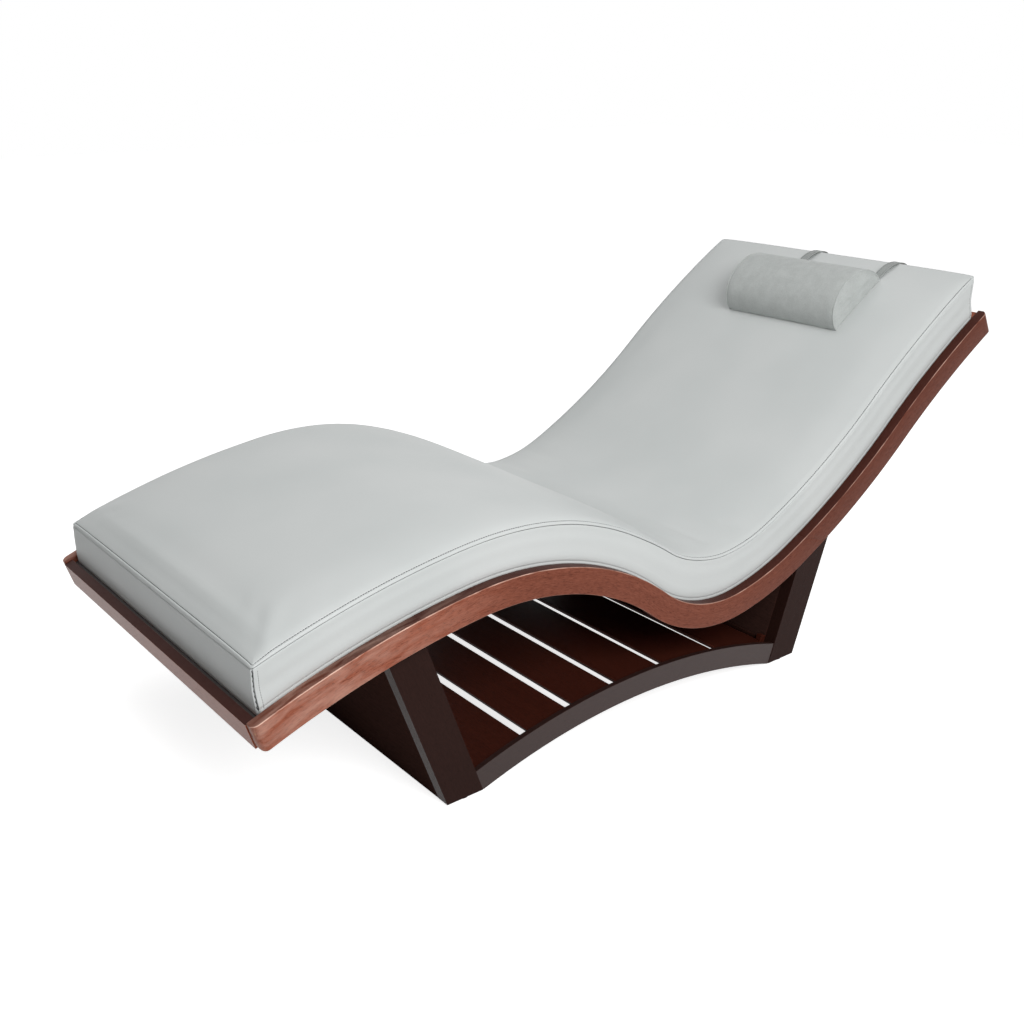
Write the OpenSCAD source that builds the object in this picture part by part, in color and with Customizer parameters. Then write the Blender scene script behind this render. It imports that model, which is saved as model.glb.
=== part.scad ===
// Spa relaxation lounger: a padded wave-shaped bed in a tray of bent rails, carried
// by a boxed pedestal with an arched shelf, with a half-round head pillow that slides
// up and down the back on two straps, balanced by a weight hung behind the head end.
// X runs from the foot end to the head end, Y across the bed, Z up from the floor.

/* [Wave line: top edge of the rails, foot end to head end] */
// From the middle of the pedestal to the foot end
foot_reach = 851; // [820:1:900]
// Height of the line above the floor at the foot end
foot_rise = 306; // [296:1:330]
// Climb of the line where it leaves the foot end, in degrees
foot_angle = 21.7; // [20.5:0.1:23]
// Radius of the gentle rise under the calves
calf_r = 1700; // [1500:10:2000]
// Turn of the gentle rise under the calves, in degrees
calf_angle = 15.2; // [14:0.1:16.5]
// Radius of the crest under the knees
knee_r = 600; // [570:5:630]
// Turn of the crest under the knees, in degrees
knee_angle = 46; // [44.5:0.1:47]
// Radius of the seat hollow
seat_r = 273; // [255:1:290]
// Turn of the seat hollow, in degrees
seat_angle = 49.5; // [48.5:0.1:51]
// Radius of the curve behind the small of the back
lumbar_r = 583; // [540:1:630]
// Turn of the curve behind the small of the back, in degrees
lumbar_angle = 16.2; // [15:0.1:17]
// Radius of the long curve up the back
back_r = 1590; // [1450:10:1750]
// Turn of the long curve up the back, in degrees
back_angle = 14; // [13:0.1:15]
// Radius of the last stretch, which bows the other way
head_r = 2100; // [1900:10:2400]
// Turn of the last stretch, in degrees
head_angle = 10.3; // [9:0.1:11]

/* [Wave rails] */
// Width over the outer faces of the two wave rails
overall_w = 845; // [800:1:880]
// Thickness of a wave rail
rail_t = 24; // [22:0.5:28]
// Depth of a wave rail, square to the line
rail_depth = 52; // [50:0.5:60]
// How far the top of a rail's foot end stands back from its lower corner
end_slant = 4.5; // [0:0.5:8]
// Rounding of the outer upright corner at each end of a rail
rail_end_r = 14; // [6:1:18]
// Rounding of the lower corner at each end of a rail
rail_toe_r = 9; // [4:1:14]
// Distance along the line from the scarf joint in each rail to the middle of the rear legs
scarf_before = 74; // [60:1:110]
// How far the scarf joint runs on towards the head as it goes down
scarf_run = 48; // [20:1:70]

/* [Tray] */
// Depth of the cushion's underside below the rails' top edges
cushion_sink = 10; // [8:0.5:12]
// Thickness of the hook-and-loop strips under the cushion
grip_t = 2; // [1.5:0.1:3]
// Width of a hook-and-loop strip
grip_w = 50; // [30:1:80]
// Thickness of the plywood deck
deck_t = 9; // [8:0.5:10]
// Width of the cleats that carry the deck
cleat_w = 18; // [14:1:22]
// Depth of the cleats that carry the deck
cleat_h = 20; // [16:1:24]
// Thickness of the crossbars that close the tray at both ends
crossbar_t = 18; // [15:1:21]
// Depth of the foot crossbar
foot_bar_depth = 49; // [44:1:52]
// How far the foot crossbar's outer face stands in from the rail ends
foot_bar_inset = 2; // [1:0.5:6]
// How far the foot crossbar's top lies below the rails' top edges
foot_bar_drop = 4; // [1:0.5:6]
// Depth of the head crossbar
head_bar_depth = 46; // [40:1:50]
// How far the head crossbar's outer face stands in from the rail ends
head_bar_inset = 5; // [3:0.5:10]
// How far the head crossbar's top lies below the rails' top edges
head_bar_drop = 2; // [1:0.5:4]

/* [Pedestal] */
// Half length of the pedestal over its feet, on the floor
base_half = 472; // [450:1:490]
// Width of a leg, level along the floor
leg_w = 80; // [70:1:90]
// Thickness of a leg
leg_t = 28; // [24:1:32]
// Outward lean of the legs, in degrees from upright
leg_lean = 19.2; // [15:0.1:22]
// Thickness of the panels that box in the legs
panel_t = 15; // [12:0.5:18]
// Thickness of the beam inside the top of each pair of legs
beam_t = 44; // [40:0.5:45]
// Depth of the beam inside the top of each pair of legs
beam_h = 60; // [40:1:80]
// Thickness of a floor glide
glide_t = 3; // [2:0.5:4]
// Radius of a floor glide
glide_r = 12; // [9:0.5:13]

/* [Arched shelf] */
// Height of the arch rails' lower edge above the floor at the middle
arch_rise = 62; // [60:1:66]
// Height of the arch rails' lower edge above the floor where it meets the legs
arch_foot = 2.2; // [1:0.1:4]
// Depth of an arch rail
arch_depth = 47; // [44:1:54]
// Thickness of an arch rail
arch_t = 25; // [22:0.5:27]
// How far an arch rail's outer face stands back from the legs' outer faces
arch_setback = 1; // [0.5:0.5:2]
// Thickness of the lip left outside the ledge that carries the slats
lip_t = 11; // [8:0.5:13]
// How far the lip stands above the slats
lip_rise = 5; // [3:0.5:7]
// Thickness of a shelf slat
slat_t = 7; // [6:0.5:10]
// Width of the gap between two slats
slat_gap = 17; // [14:1:22]

/* [Cushion] */
// Thickness of the cushion at its top seam under the calves, square to the deck
cushion_t = 78; // [70:1:84]
// How much thicker the cushion is from the knees to the head end
back_fill = 4; // [0:0.5:6]
// How much thicker the cushion is where the seat hollow folds it inward
seat_fill = 11; // [0:0.5:14]
// How much thicker the cushion is at its two ends
end_fill = 1; // [0:0.5:5]
// Height of the crown above the top seam under the calves
leg_crown = 24; // [14:1:28]
// Height of the crown above the top seam up the back
back_crown = 15; // [10:1:18]
// Height of the crown above the top seam at the two ends
end_crown = 3; // [1:0.5:5]
// How far each long top seam stands in from the foot of the cushion's side
seam_inset = 9; // [6:0.5:14]
// How far each side of the cushion draws in between its seams
draw_in = 4; // [2:0.5:6]
// Clearance between the cushion and the rails at each side
side_gap = 1.5; // [1:0.1:3]
// Gap between the cushion's underside and the foot crossbar
foot_gap = 1.5; // [1.2:0.1:4]
// Gap between the cushion's underside and the head crossbar
head_gap = 6; // [5.5:0.1:9]
// Lean of the cushion's foot end towards the head, in degrees from upright
foot_lean = -1; // [-3:0.5:4]
// Lean of the cushion's head end towards the head, in degrees from upright
head_lean = 4; // [0:0.5:8]
// Thickness of the cover
cover_t = 2; // [1.5:0.1:3]

/* [Head pillow] */
// Width of the pillow across the bed
pillow_w = 332; // [280:1:360]
// Depth of the pillow's underside along the back
pillow_d = 182; // [160:1:200]
// Height of the pillow above the cushion
pillow_h = 81; // [60:1:95]
// How far the pillow's middle sits to the left of the bed's middle
pillow_shift = -22; // [-30:1:20]
// Distance along the line from the pillow's upper edge to the head end
pillow_reach = 51; // [44:1:90]
// Width of a pillow strap
strap_w = 22; // [18:1:30]
// Thickness of a pillow strap
strap_t = 2; // [1.5:0.1:3]
// Distance between the middles of the two straps
strap_pitch = 236; // [180:1:240]
// How far the middle of the pair of straps sits to the left of the bed's middle
strap_shift = -56; // [-60:1:20]
// Radius of the steel weight bar
bar_r = 9; // [7:0.5:11]
// Length of the steel weight bar
bar_l = 280; // [260:5:300]
// Height of the weight bar's middle above the floor at rest
bar_rise = 510; // [460:5:520]

/* [Hardware] */
// Radius of the dowels
dowel_r = 4; // [3:0.5:5]
// Length of a dowel
dowel_l = 36; // [30:1:38]
// Radius of the bolts that hold the legs to the rails
bolt_r = 4; // [3:0.5:5]
// Radius of a bolt's head
bolt_head_r = 7.5; // [7:0.5:8.5]
// Thickness of a bolt's head
bolt_head_t = 4.5; // [3:0.5:6]
// Radius of a threaded insert
insert_r = 6; // [5.5:0.5:7]
// Length of a threaded insert
insert_l = 15; // [12:1:18]
// Distance between the two bolts of a leg
bolt_pitch = 34; // [26:1:40]
// Radius of a deck screw's shank
screw_r = 1.75; // [1.5:0.05:2.25]
// Radius of a deck screw's head
screw_head_r = 3.5; // [3:0.25:4]
// Length of a deck screw
screw_l = 22; // [18:1:25]
// Widest distance between two deck screws
screw_pitch = 240; // [150:10:300]
// Distance from a cleat's end to its first screw
screw_edge = 30; // [20:1:40]

/* [Hidden] */
$fn = 48;

mahogany = "#8a5446";
espresso = "#33221f";
slat_brown = "#4a1d15";
plywood = "#b08a5c";
vinyl = "#c4c9c8";
suede = "#a8acaa";
steel = "#9a9da0";

// Clearance round soft pieces, and the running fit of pins in their holes
soft_gap = 0.3;
fit_gap = 0.05;
// How far cutting shapes reach past what they cut
over = 2;
// Longest step and widest turn between two stations of the rails and the deck
fine_step = 26;
fine_angle = 2.6;
// Longest step and widest turn between two rings of the cushion
ring_step = 60;
ring_angle = 7.2;

// The stretches of the wave line, each a radius and a turn, climbing turns positive
wave = [[calf_r, -calf_angle], [knee_r, -knee_angle], [seat_r, seat_angle],
    [lumbar_r, lumbar_angle], [back_r, back_angle], [head_r, -head_angle]];
last_stretch = len(wave) - 1;
function stretch_len(i) = wave[i][0] * abs(wave[i][1]) * PI / 180;
function reach_to(i) = i == 0 ? 0 : reach_to(i - 1) + stretch_len(i - 1);
wave_len = reach_to(len(wave));

// A state is a point of the line and its heading: walk a part of a stretch from it
function walk(from, radius, turn) =
    let (to = from[2] + turn, side = sign(turn))
    [from[0] + side * radius * (sin(to) - sin(from[2])),
     from[1] - side * radius * (cos(to) - cos(from[2])), to];
function stretch_start(i) = i == 0 ? [-foot_reach, foot_rise, foot_angle]
    : walk(stretch_start(i - 1), wave[i - 1][0], wave[i - 1][1]);
starts = [for (i = [0:last_stretch]) stretch_start(i)];
reaches = [for (i = [0:last_stretch]) reach_to(i)];
function stretch_of(s, i = last_stretch) = i == 0 || s >= reaches[i] ? i : stretch_of(s, i - 1);
function state_at(s) =
    let (i = stretch_of(s), part = (s - reaches[i]) / stretch_len(i))
    walk(starts[i], wave[i][0], wave[i][1] * part);
// The point that lies off the line by a height square to it
function wave_point(s, height = 0) =
    let (p = state_at(s)) [p[0] - height * sin(p[2]), p[1] + height * cos(p[2])];

// Stations along the line from one reach to another, closer where it turns more, with none
// nearer to an end than a share of a step
near_share = 0.2;
function steps_of(i, step, turn) = ceil(max(stretch_len(i) / step, abs(wave[i][1]) / turn));
function stations(from, to, step, turn) = concat([from],
    [for (i = [0:last_stretch], n = steps_of(i, step, turn), k = [0:n - 1])
        let (s = reaches[i] + stretch_len(i) * k / n)
        if (s > from + near_share * step && s < to - near_share * step) s], [to]);
// Outline of a band that follows the line, its ends slanted where the reaches differ
function band(from, to, top, bottom, from_low, to_low) = concat(
    [for (s = stations(from, to, fine_step, fine_angle)) wave_point(s, top)],
    [for (s = reverse(stations(from_low, to_low, fine_step, fine_angle))) wave_point(s, bottom)]);
function reverse(list) = [for (i = [len(list) - 1:-1:0]) list[i]];
function smooth(part) = let (u = min(max(part, 0), 1)) u * u * (3 - 2 * u);

// Room under the cushion, whose underside runs flat from ring to ring
under_gap = 0.7;
// Heights off the line of what lies in the tray
deck_top = -cushion_sink - grip_t - under_gap;
deck_under = deck_top - deck_t;
rail_inner = overall_w / 2 - rail_t;

// The frame's origin is under the middle of the whole part: the foot end of the rails
// and the weight behind the head end are its two extremes
head_reach = wave_len - head_bar_inset;
head_low = wave_point(head_reach, -head_bar_drop - head_bar_depth);
strap_line = head_low[0] + soft_gap;
sleeve_r = bar_r + soft_gap + cover_t;
bar_x = strap_line + strap_t / 2;
rail_tip = wave_point(wave_len, -rail_depth);
x_max = max(bar_x + sleeve_r, rail_tip[0]);
shift_x = (x_max - foot_reach) / 2;

module centred() { translate([-shift_x, 0, 0]) children(); }
// An outline in X and Z, given a width across the bed from one Y to another
module across(y0, y1) {
    translate([0, y1, 0]) rotate([90, 0, 0]) linear_extrude(y1 - y0) children();
}
// A cylinder that runs across the bed from one Y to another, round a point in X and Z
module pin_y(p, r, y0, y1) {
    translate([p[0], y1, p[1]]) rotate([90, 0, 0]) cylinder(h = y1 - y0, r = r);
}
// Both sides of the bed: a side of 1 is the left one, on the far side of Y
module mirrored(side) { if (side > 0) children(); else mirror([0, 1, 0]) children(); }

// Wave rails

bolt_height = (deck_under - soft_gap - rail_depth) / 2;
// A leg leans outward: its middle line at a height z stands at this X on the rear side
lean = tan(leg_lean);
function leg_mid(z) = base_half - leg_w / 2 + lean * z;
// Reach of the line where the bolts' height crosses the middle line of a leg, found by halving
function reach_on_leg(end, lo, hi, n = 30) = n == 0 ? (lo + hi) / 2
    : let (mid = (lo + hi) / 2, p = wave_point(mid, bolt_height))
      p[0] > end * leg_mid(p[1]) ? reach_on_leg(end, lo, mid, n - 1)
      : reach_on_leg(end, mid, hi, n - 1);
leg_reaches = [reach_on_leg(-1, 0, reaches[2]), reach_on_leg(1, reaches[3], wave_len)];
scarf_reach = leg_reaches[1] - scarf_before;
scarf_low = scarf_reach + scarf_run;
bolt_places = [for (s = leg_reaches, k = [-1, 1]) wave_point(s + k * bolt_pitch / 2, bolt_height)];

// How far the foot end stands back at a height off the line
function end_back(height) = end_slant * (1 + height / rail_depth);
// Reach of the foot crossbar's outer face at a height off the line
function foot_face(height) = foot_bar_inset + end_back(height);
// Dowels hold the crossbars: two at each corner of the tray
foot_mid = -foot_bar_drop - foot_bar_depth / 2;
head_mid = -head_bar_drop - head_bar_depth / 2;
dowel_places = concat(
    [for (k = [-1, 1]) wave_point(foot_face(foot_mid) + crossbar_t / 2, foot_mid + k * foot_bar_depth / 4)],
    [for (k = [-1, 1]) wave_point(head_reach - crossbar_t / 2, head_mid + k * head_bar_depth / 4)]);

// Cuts that round the outer upright corner of a rail at one of its ends, whose face leans
// back from its lower corner
module end_rounding(s, way, slant) {
    p = state_at(s);
    translate([p[0], overall_w / 2, p[1]])
        rotate([0, -p[2], 0])
        translate([0, 0, -rail_depth])
        rotate([0, atan(slant / rail_depth), 0])
        translate([-way * rail_end_r, -rail_end_r, -over])
        difference() {
            translate([way > 0 ? 0 : -rail_end_r - over, 0, 0])
                cube([rail_end_r + over, rail_end_r + over, rail_depth + 2 * over]);
            translate([0, 0, -over]) cylinder(h = rail_depth + 4 * over, r = rail_end_r);
        }
}
// Cuts that round the lower corner of a rail at one of its ends: the round touches the
// underside and the face at the same length from the corner
module toe_rounding(s, way, slant) {
    p = state_at(s);
    a = atan(slant / rail_depth);
    touch = rail_toe_r * (1 + sin(a)) / cos(a);
    low = -rail_depth - over;
    translate([p[0], 0, p[1]])
        rotate([0, -p[2], 0])
        difference() {
            across(rail_inner - over, overall_w / 2 + over) polygon([
                [-way * touch, rail_toe_r - rail_depth], [-way * touch, low], [way * over, low],
                [way * (over * cos(a) - touch * sin(a)), touch * cos(a) + over * sin(a) - rail_depth]]);
            pin_y([-way * touch, rail_toe_r - rail_depth], rail_toe_r,
                rail_inner - 2 * over, overall_w / 2 + 2 * over);
        }
}
// Blind holes in a rail's inner face, for crossbar dowels and for threaded inserts
module rail_holes(dowels) {
    for (i = dowels)
        pin_y(dowel_places[i], dowel_r + fit_gap, rail_inner - over, rail_inner + dowel_l / 2);
    for (p = bolt_places) pin_y(p, insert_r + fit_gap, rail_inner - over, rail_inner + insert_l);
}
module rail_lower() {
    difference() {
        across(rail_inner, overall_w / 2)
            polygon(band(end_slant, scarf_reach, 0, -rail_depth, 0, scarf_low));
        end_rounding(0, -1, end_slant);
        toe_rounding(0, -1, end_slant);
        rail_holes([0, 1]);
    }
}
module rail_upper() {
    difference() {
        across(rail_inner, overall_w / 2)
            polygon(band(scarf_reach, wave_len, 0, -rail_depth, scarf_low, wave_len));
        end_rounding(wave_len, 1, 0);
        toe_rounding(wave_len, 1, 0);
        rail_holes([2, 3]);
    }
}
module rail_left_lower() { color(mahogany) centred() rail_lower(); }
module rail_left_upper() { color(mahogany) centred() rail_upper(); }
module rail_right_lower() { color(mahogany) centred() mirrored(-1) rail_lower(); }
module rail_right_upper() { color(mahogany) centred() mirrored(-1) rail_upper(); }

// Tray between the rails

// A crossbar between two heights off the line, from a reach at its top and one at its foot
module crossbar(from, from_low, top, bottom, places) {
    difference() {
        across(-rail_inner, rail_inner)
            polygon(band(from, from + crossbar_t, top, bottom, from_low, from_low + crossbar_t));
        for (i = places, side = [-1, 1]) mirrored(side)
            pin_y(dowel_places[i], dowel_r + fit_gap, rail_inner - dowel_l / 2, rail_inner + over);
    }
}
module foot_crossbar() {
    low = -foot_bar_drop - foot_bar_depth;
    color(mahogany) centred()
        crossbar(foot_face(-foot_bar_drop), foot_face(low), -foot_bar_drop, low, [0, 1]);
}
module head_crossbar() {
    from = head_reach - crossbar_t;
    color(mahogany) centred()
        crossbar(from, from, -head_bar_drop, -head_bar_drop - head_bar_depth, [2, 3]);
}
module crossbar_dowels() {
    color(plywood) centred() for (p = dowel_places, side = [-1, 1]) mirrored(side)
        pin_y(p, dowel_r, rail_inner - dowel_l / 2 + fit_gap, rail_inner + dowel_l / 2 - fit_gap);
}

deck_from = foot_face(-foot_bar_drop) + crossbar_t + fit_gap;
deck_to = head_reach - crossbar_t - fit_gap;
// The cleats stop short of the legs, which stand against the rails there and cross them
// at a slant
leg_d = leg_w * cos(leg_lean);
leg_clear = 3;
cleat_gaps = [for (i = [0, 1])
    let (s = leg_reaches[i], slant = state_at(s)[2] + (i == 0 ? -leg_lean : leg_lean),
        half = leg_d / 2 / cos(slant) + cleat_h * abs(tan(slant)) + leg_clear)
    [s - half, s + half]];
cleat_runs = [[deck_from, cleat_gaps[0][0]], [cleat_gaps[0][1], cleat_gaps[1][0]],
    [cleat_gaps[1][1], deck_to]];
// The deck is screwed down along each cleat
function screw_span(run) = run[1] - run[0] - 2 * screw_edge;
screw_reaches = [for (run = cleat_runs, n = ceil(screw_span(run) / screw_pitch), k = [0:n])
    run[0] + screw_edge + screw_span(run) * k / n];
screw_y = rail_inner - cleat_w / 2;
module at_screw(s, side) {
    p = state_at(s);
    q = wave_point(s, deck_top);
    translate([q[0], side * screw_y, q[1]]) rotate([0, -p[2], 0]) children();
}
// A countersunk hole for a screw, its mouth at the deck's top
module screw_hole() {
    head_r = screw_head_r + fit_gap;
    translate([0, 0, -screw_l]) cylinder(h = screw_l, r = screw_r + fit_gap);
    translate([0, 0, -head_r]) cylinder(h = head_r, r1 = 0, r2 = head_r);
    translate([0, 0, -fit_gap]) cylinder(h = over, r = head_r);
}
module deck_panel() {
    color(plywood) centred() difference() {
        across(fit_gap - rail_inner, rail_inner - fit_gap)
            polygon(band(deck_from, deck_to, deck_top, deck_under, deck_from, deck_to));
        for (s = screw_reaches, side = [-1, 1]) at_screw(s, side) screw_hole();
    }
}
module deck_screws() {
    color(steel) centred() for (s = screw_reaches, side = [-1, 1]) at_screw(s, side) {
        translate([0, 0, fit_gap - screw_l]) cylinder(h = screw_l - 2 * fit_gap, r = screw_r);
        translate([0, 0, -screw_head_r - fit_gap]) cylinder(h = screw_head_r, r1 = 0, r2 = screw_head_r);
    }
}
module deck_cleat(side) {
    difference() {
        for (run = cleat_runs) mirrored(side) across(rail_inner - cleat_w, rail_inner)
            polygon(band(run[0], run[1], deck_under, deck_under - cleat_h, run[0], run[1]));
        for (s = screw_reaches) at_screw(s, side) screw_hole();
    }
}
module deck_cleat_left() { color(plywood) centred() deck_cleat(1); }
module deck_cleat_right() { color(plywood) centred() deck_cleat(-1); }
// Hook-and-loop strips run across the flatter stretches of the deck, clear of its corners
grip_shares = [0.06, 0.16, 0.68, 0.8, 0.94];
grip_gap = 0.15;
module grip_strips() {
    color("black") centred() for (share = grip_shares) {
        s = deck_from + share * (deck_to - deck_from);
        across(-screw_y + cleat_w, screw_y - cleat_w) polygon(band(s - grip_w / 2, s + grip_w / 2,
            deck_top + grip_gap + grip_t, deck_top + grip_gap, s - grip_w / 2, s + grip_w / 2));
    }
}

// Pedestal

leg_inner = rail_inner - leg_t;
// Level distance between a leg's outer edge and a line inside it, from its square distance
function level(d) = d / cos(leg_lean);
// Outline of a leaning strip of the pedestal between two square distances from the
// leg's outer edge, from a height up to the deck
tall = wave_point(wave_len)[1];
function strip(end, d0, d1, z0) = [for (q = [[d0, z0], [d1, z0], [d1, tall], [d0, tall]])
    [end * (base_half - level(q[0]) + lean * q[1]), q[1]]];
function under_deck(drop) = concat(
    [for (s = stations(0, wave_len, fine_step, fine_angle)) wave_point(s, deck_under - drop)],
    [[x_max, 0], [-x_max, 0]]);
module leaning(end, d0, d1, z0, drop) {
    intersection() {
        polygon(strip(end, d0, d1, z0));
        polygon(under_deck(drop));
    }
}
module leg(end) {
    mid = leg_mid(0) * end;
    difference() {
        across(leg_inner, rail_inner) leaning(end, 0, leg_d, glide_t, soft_gap);
        for (p = bolt_places) {
            pin_y(p, bolt_r + fit_gap, leg_inner - over, rail_inner + over);
            pin_y(p, bolt_head_r + fit_gap, leg_inner - over, leg_inner + bolt_head_t + fit_gap);
        }
        dowel_hole_x(end);
        translate([mid, leg_inner + leg_t / 2, glide_t - over])
            cylinder(h = glide_pin_l + over + fit_gap, r = glide_pin_r + fit_gap);
    }
}
module front_leg_left() { color(espresso) centred() leg(-1); }
module front_leg_right() { color(espresso) centred() mirrored(-1) leg(-1); }
module rear_leg_left() { color(espresso) centred() leg(1); }
module rear_leg_right() { color(espresso) centred() mirrored(-1) leg(1); }

module panel(end, d) {
    across(-leg_inner, leg_inner) leaning(end, d, d + panel_t, glide_t, soft_gap);
}
module front_outer_panel() { color(espresso) centred() panel(-1, 0); }
module front_inner_panel() { color(espresso) centred() panel(-1, leg_d - panel_t); }
module rear_inner_panel() { color(espresso) centred() panel(1, leg_d - panel_t); }
module rear_outer_panel() { color(espresso) centred() panel(1, 0); }

// The beam inside the top of a pair of legs carries the deck between the panels
module beam(end) {
    inset = (leg_d - beam_t) / 2;
    across(-leg_inner, leg_inner) difference() {
        leaning(end, inset, inset + beam_t, glide_t, soft_gap);
        polygon(under_deck(soft_gap + beam_h));
    }
}
module front_beam() { color(plywood) centred() beam(-1); }
module rear_beam() { color(plywood) centred() beam(1); }

module leg_bolts() {
    color(steel) centred() for (p = bolt_places, side = [-1, 1]) mirrored(side) {
        pin_y(p, bolt_r, leg_inner, rail_inner + insert_l - fit_gap);
        pin_y(p, bolt_head_r, leg_inner + fit_gap, leg_inner + bolt_head_t);
    }
}
module leg_inserts() {
    color("goldenrod") centred() for (p = bolt_places, side = [-1, 1]) mirrored(side)
        difference() {
            pin_y(p, insert_r, rail_inner + fit_gap, rail_inner + insert_l - fit_gap);
            pin_y(p, bolt_r + fit_gap, rail_inner - over, rail_inner + insert_l + over);
        }
}
// Nail-on glides: a disc under each leg with a pin up into it
glide_pin_r = 2.5;
glide_pin_l = 16;
module floor_glides() {
    color("dimgray") centred() for (end = [-1, 1], side = [-1, 1]) mirrored(side)
        translate([end * leg_mid(0), leg_inner + leg_t / 2, 0]) {
            cylinder(h = glide_t, r = glide_r);
            cylinder(h = glide_t + glide_pin_l, r = glide_pin_r);
        }
}

// Arched shelf

// Level distance from the middle to the legs' inner edges at the floor
inner_half = base_half - leg_w;
arch_climb = arch_rise - arch_foot;
arch_r = (arch_climb * arch_climb + inner_half * inner_half) / (2 * arch_climb);
arch_z = arch_rise - arch_r;
arch_top_r = arch_r + arch_depth;
ledge_r = arch_top_r - lip_rise - slat_t;
arch_outer = rail_inner - arch_setback;
slat_half = arch_outer - lip_t - fit_gap;
// A ring sector round the arch's centre, between two radii and two angles from upright,
// which runs across the bed from one Y to another
module arch_band(r0, r1, a0, a1, y0, y1) {
    translate([0, 0, arch_z]) rotate([90, 0, 0]) rotate([0, 0, 90 - a1])
        rotate_extrude(angle = a1 - a0, $fn = 360)
        translate([r0, -y1]) square([r1 - r0, y1 - y0]);
}
// The space between the legs, cut square to their inner edges' lean
module between_legs(gap) {
    w = inner_half - gap;
    top = arch_rise + arch_depth + over;
    across(-rail_inner, rail_inner)
        polygon([[-w - lean * glide_t, glide_t], [w + lean * glide_t, glide_t],
            [w + lean * top, top], [-w - lean * top, top]]);
}
function arch_angle(x) = asin(x / ledge_r);
arch_end = arch_angle(inner_half + leg_w / 2);
// The dowels lie halfway up what is left of a rail under its ledge, where it meets the leg
dowel_z = (glide_t + arch_z + sqrt(ledge_r * ledge_r - inner_half * inner_half)) / 2;
dowel_x = inner_half + lean * dowel_z;
arch_mid_y = arch_outer - arch_t / 2;
// Level hole for the dowel that joins an arch rail to a leg
module dowel_hole_x(end) {
    translate([end * dowel_x, arch_mid_y, dowel_z]) rotate([0, 90, 0])
        cylinder(h = dowel_l, r = dowel_r + fit_gap, center = true);
}
module arch_rail() {
    difference() {
        intersection() {
            union() {
                arch_band(arch_r, ledge_r, -arch_end, arch_end, arch_outer - arch_t, arch_outer);
                arch_band(arch_r, arch_top_r, -arch_end, arch_end, arch_outer - lip_t, arch_outer);
            }
            between_legs(0);
        }
        for (end = [-1, 1]) dowel_hole_x(end);
    }
}
module arch_rail_left() { color(espresso) centred() arch_rail(); }
module arch_rail_right() { color(espresso) centred() mirrored(-1) arch_rail(); }
module arch_dowels() {
    color(plywood) centred() for (end = [-1, 1], side = [-1, 1]) mirrored(side)
        translate([end * dowel_x, arch_mid_y, dowel_z]) rotate([0, 90, 0])
            cylinder(h = dowel_l - 2 * fit_gap, r = dowel_r, center = true);
}

// The gaps between slats lie at these shares of the half length between the legs
slat_gap_shares = [-0.721, -0.441, -0.151, 0.179, 0.589];
slat_edges = concat([-arch_end], [for (share = slat_gap_shares) arch_angle(share * inner_half)],
    [arch_end]);
half_gap = atan(slat_gap / 2 / ledge_r);
module slat(i) {
    intersection() {
        arch_band(ledge_r, ledge_r + slat_t, slat_edges[i] + half_gap, slat_edges[i + 1] - half_gap,
            -slat_half, slat_half);
        between_legs(fit_gap);
    }
}
module shelf_slat_1() { color(slat_brown) centred() slat(0); }
module shelf_slat_2() { color(slat_brown) centred() slat(1); }
module shelf_slat_3() { color(slat_brown) centred() slat(2); }
module shelf_slat_4() { color(slat_brown) centred() slat(3); }
module shelf_slat_5() { color(slat_brown) centred() slat(4); }
module shelf_slat_6() { color(slat_brown) centred() slat(5); }

// Thin battens cover the joint between the end slats and the inner panels, with a small
// block in each corner
batten = 8;
block = 14;
module shelf_strip(from, to, size) {
    for (end = [-1, 1]) intersection() {
        across(from, to) polygon(strip(end, leg_d, leg_d + size, glide_t));
        arch_band(ledge_r + slat_t, ledge_r + slat_t + size, -arch_end, arch_end, from, to);
    }
}
module shelf_battens() {
    color(espresso) centred() shelf_strip(block - leg_inner, leg_inner - block, batten);
}
module corner_blocks() {
    color(slat_brown) centred() for (side = [-1, 1]) mirrored(side)
        shelf_strip(leg_inner - block, leg_inner, block);
}

// Cushion

cushion_from = deck_from + foot_gap;
cushion_to = deck_to - head_gap;
base_w = rail_inner - side_gap;
seam_half = base_w - seam_inset;
// The end faces stand near upright and turn square to the deck over this length
blend_l = 160;
// Reach of the extra thickness to each side of the middle of the seat hollow, and from the ends
seat_spread = 230;
end_spread = 200;
// The crown rises to its full height over this length at each end
crown_run = 50;
crown_edge = 15;
// Shape of the crown across the bed
crown_power = 4;
crown_round = 0.4;
// The sides are drawn in most at this share of the thickness
side_share = 0.55;
side_v = cushion_t * side_share;
side_w = (base_w + seam_half) / 2 - draw_in;
top_shares = [0.94, 0.7, 0];

function end_dist(s) = min(s - cushion_from, cushion_to - s);
function crown_profile(share) = pow(1 - pow(abs(share), crown_power), crown_round);
// Thickness of the body of the cushion, at its top seam, and in the middle of its width
function body_t(s) =
    let (seat_mid = (reaches[2] + reaches[3]) / 2, knee_half = (reaches[2] - reaches[1]) / 2)
    cushion_t + back_fill * smooth((s - reaches[1]) / knee_half)
    + seat_fill * smooth(1 - abs(s - seat_mid) / seat_spread);
function seam_t(s) = body_t(s) + end_fill * smooth(1 - end_dist(s) / end_spread);
function middle_t(s) =
    let (knee = smooth((s - reaches[1]) / (reaches[2] - reaches[1])),
        full = body_t(s) + leg_crown + (back_crown - leg_crown) * knee, low = seam_t(s) + end_crown)
    low + (full - low) * smooth(end_dist(s) / crown_run);
// Direction of the cushion's thickness at a reach, in degrees from level
function up_at(s) =
    let (square = state_at(s)[2] + 90,
        upright = 90 - (s - cushion_from < cushion_to - s ? foot_lean : head_lean))
    upright + (square - upright) * smooth(end_dist(s) / blend_l);
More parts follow.
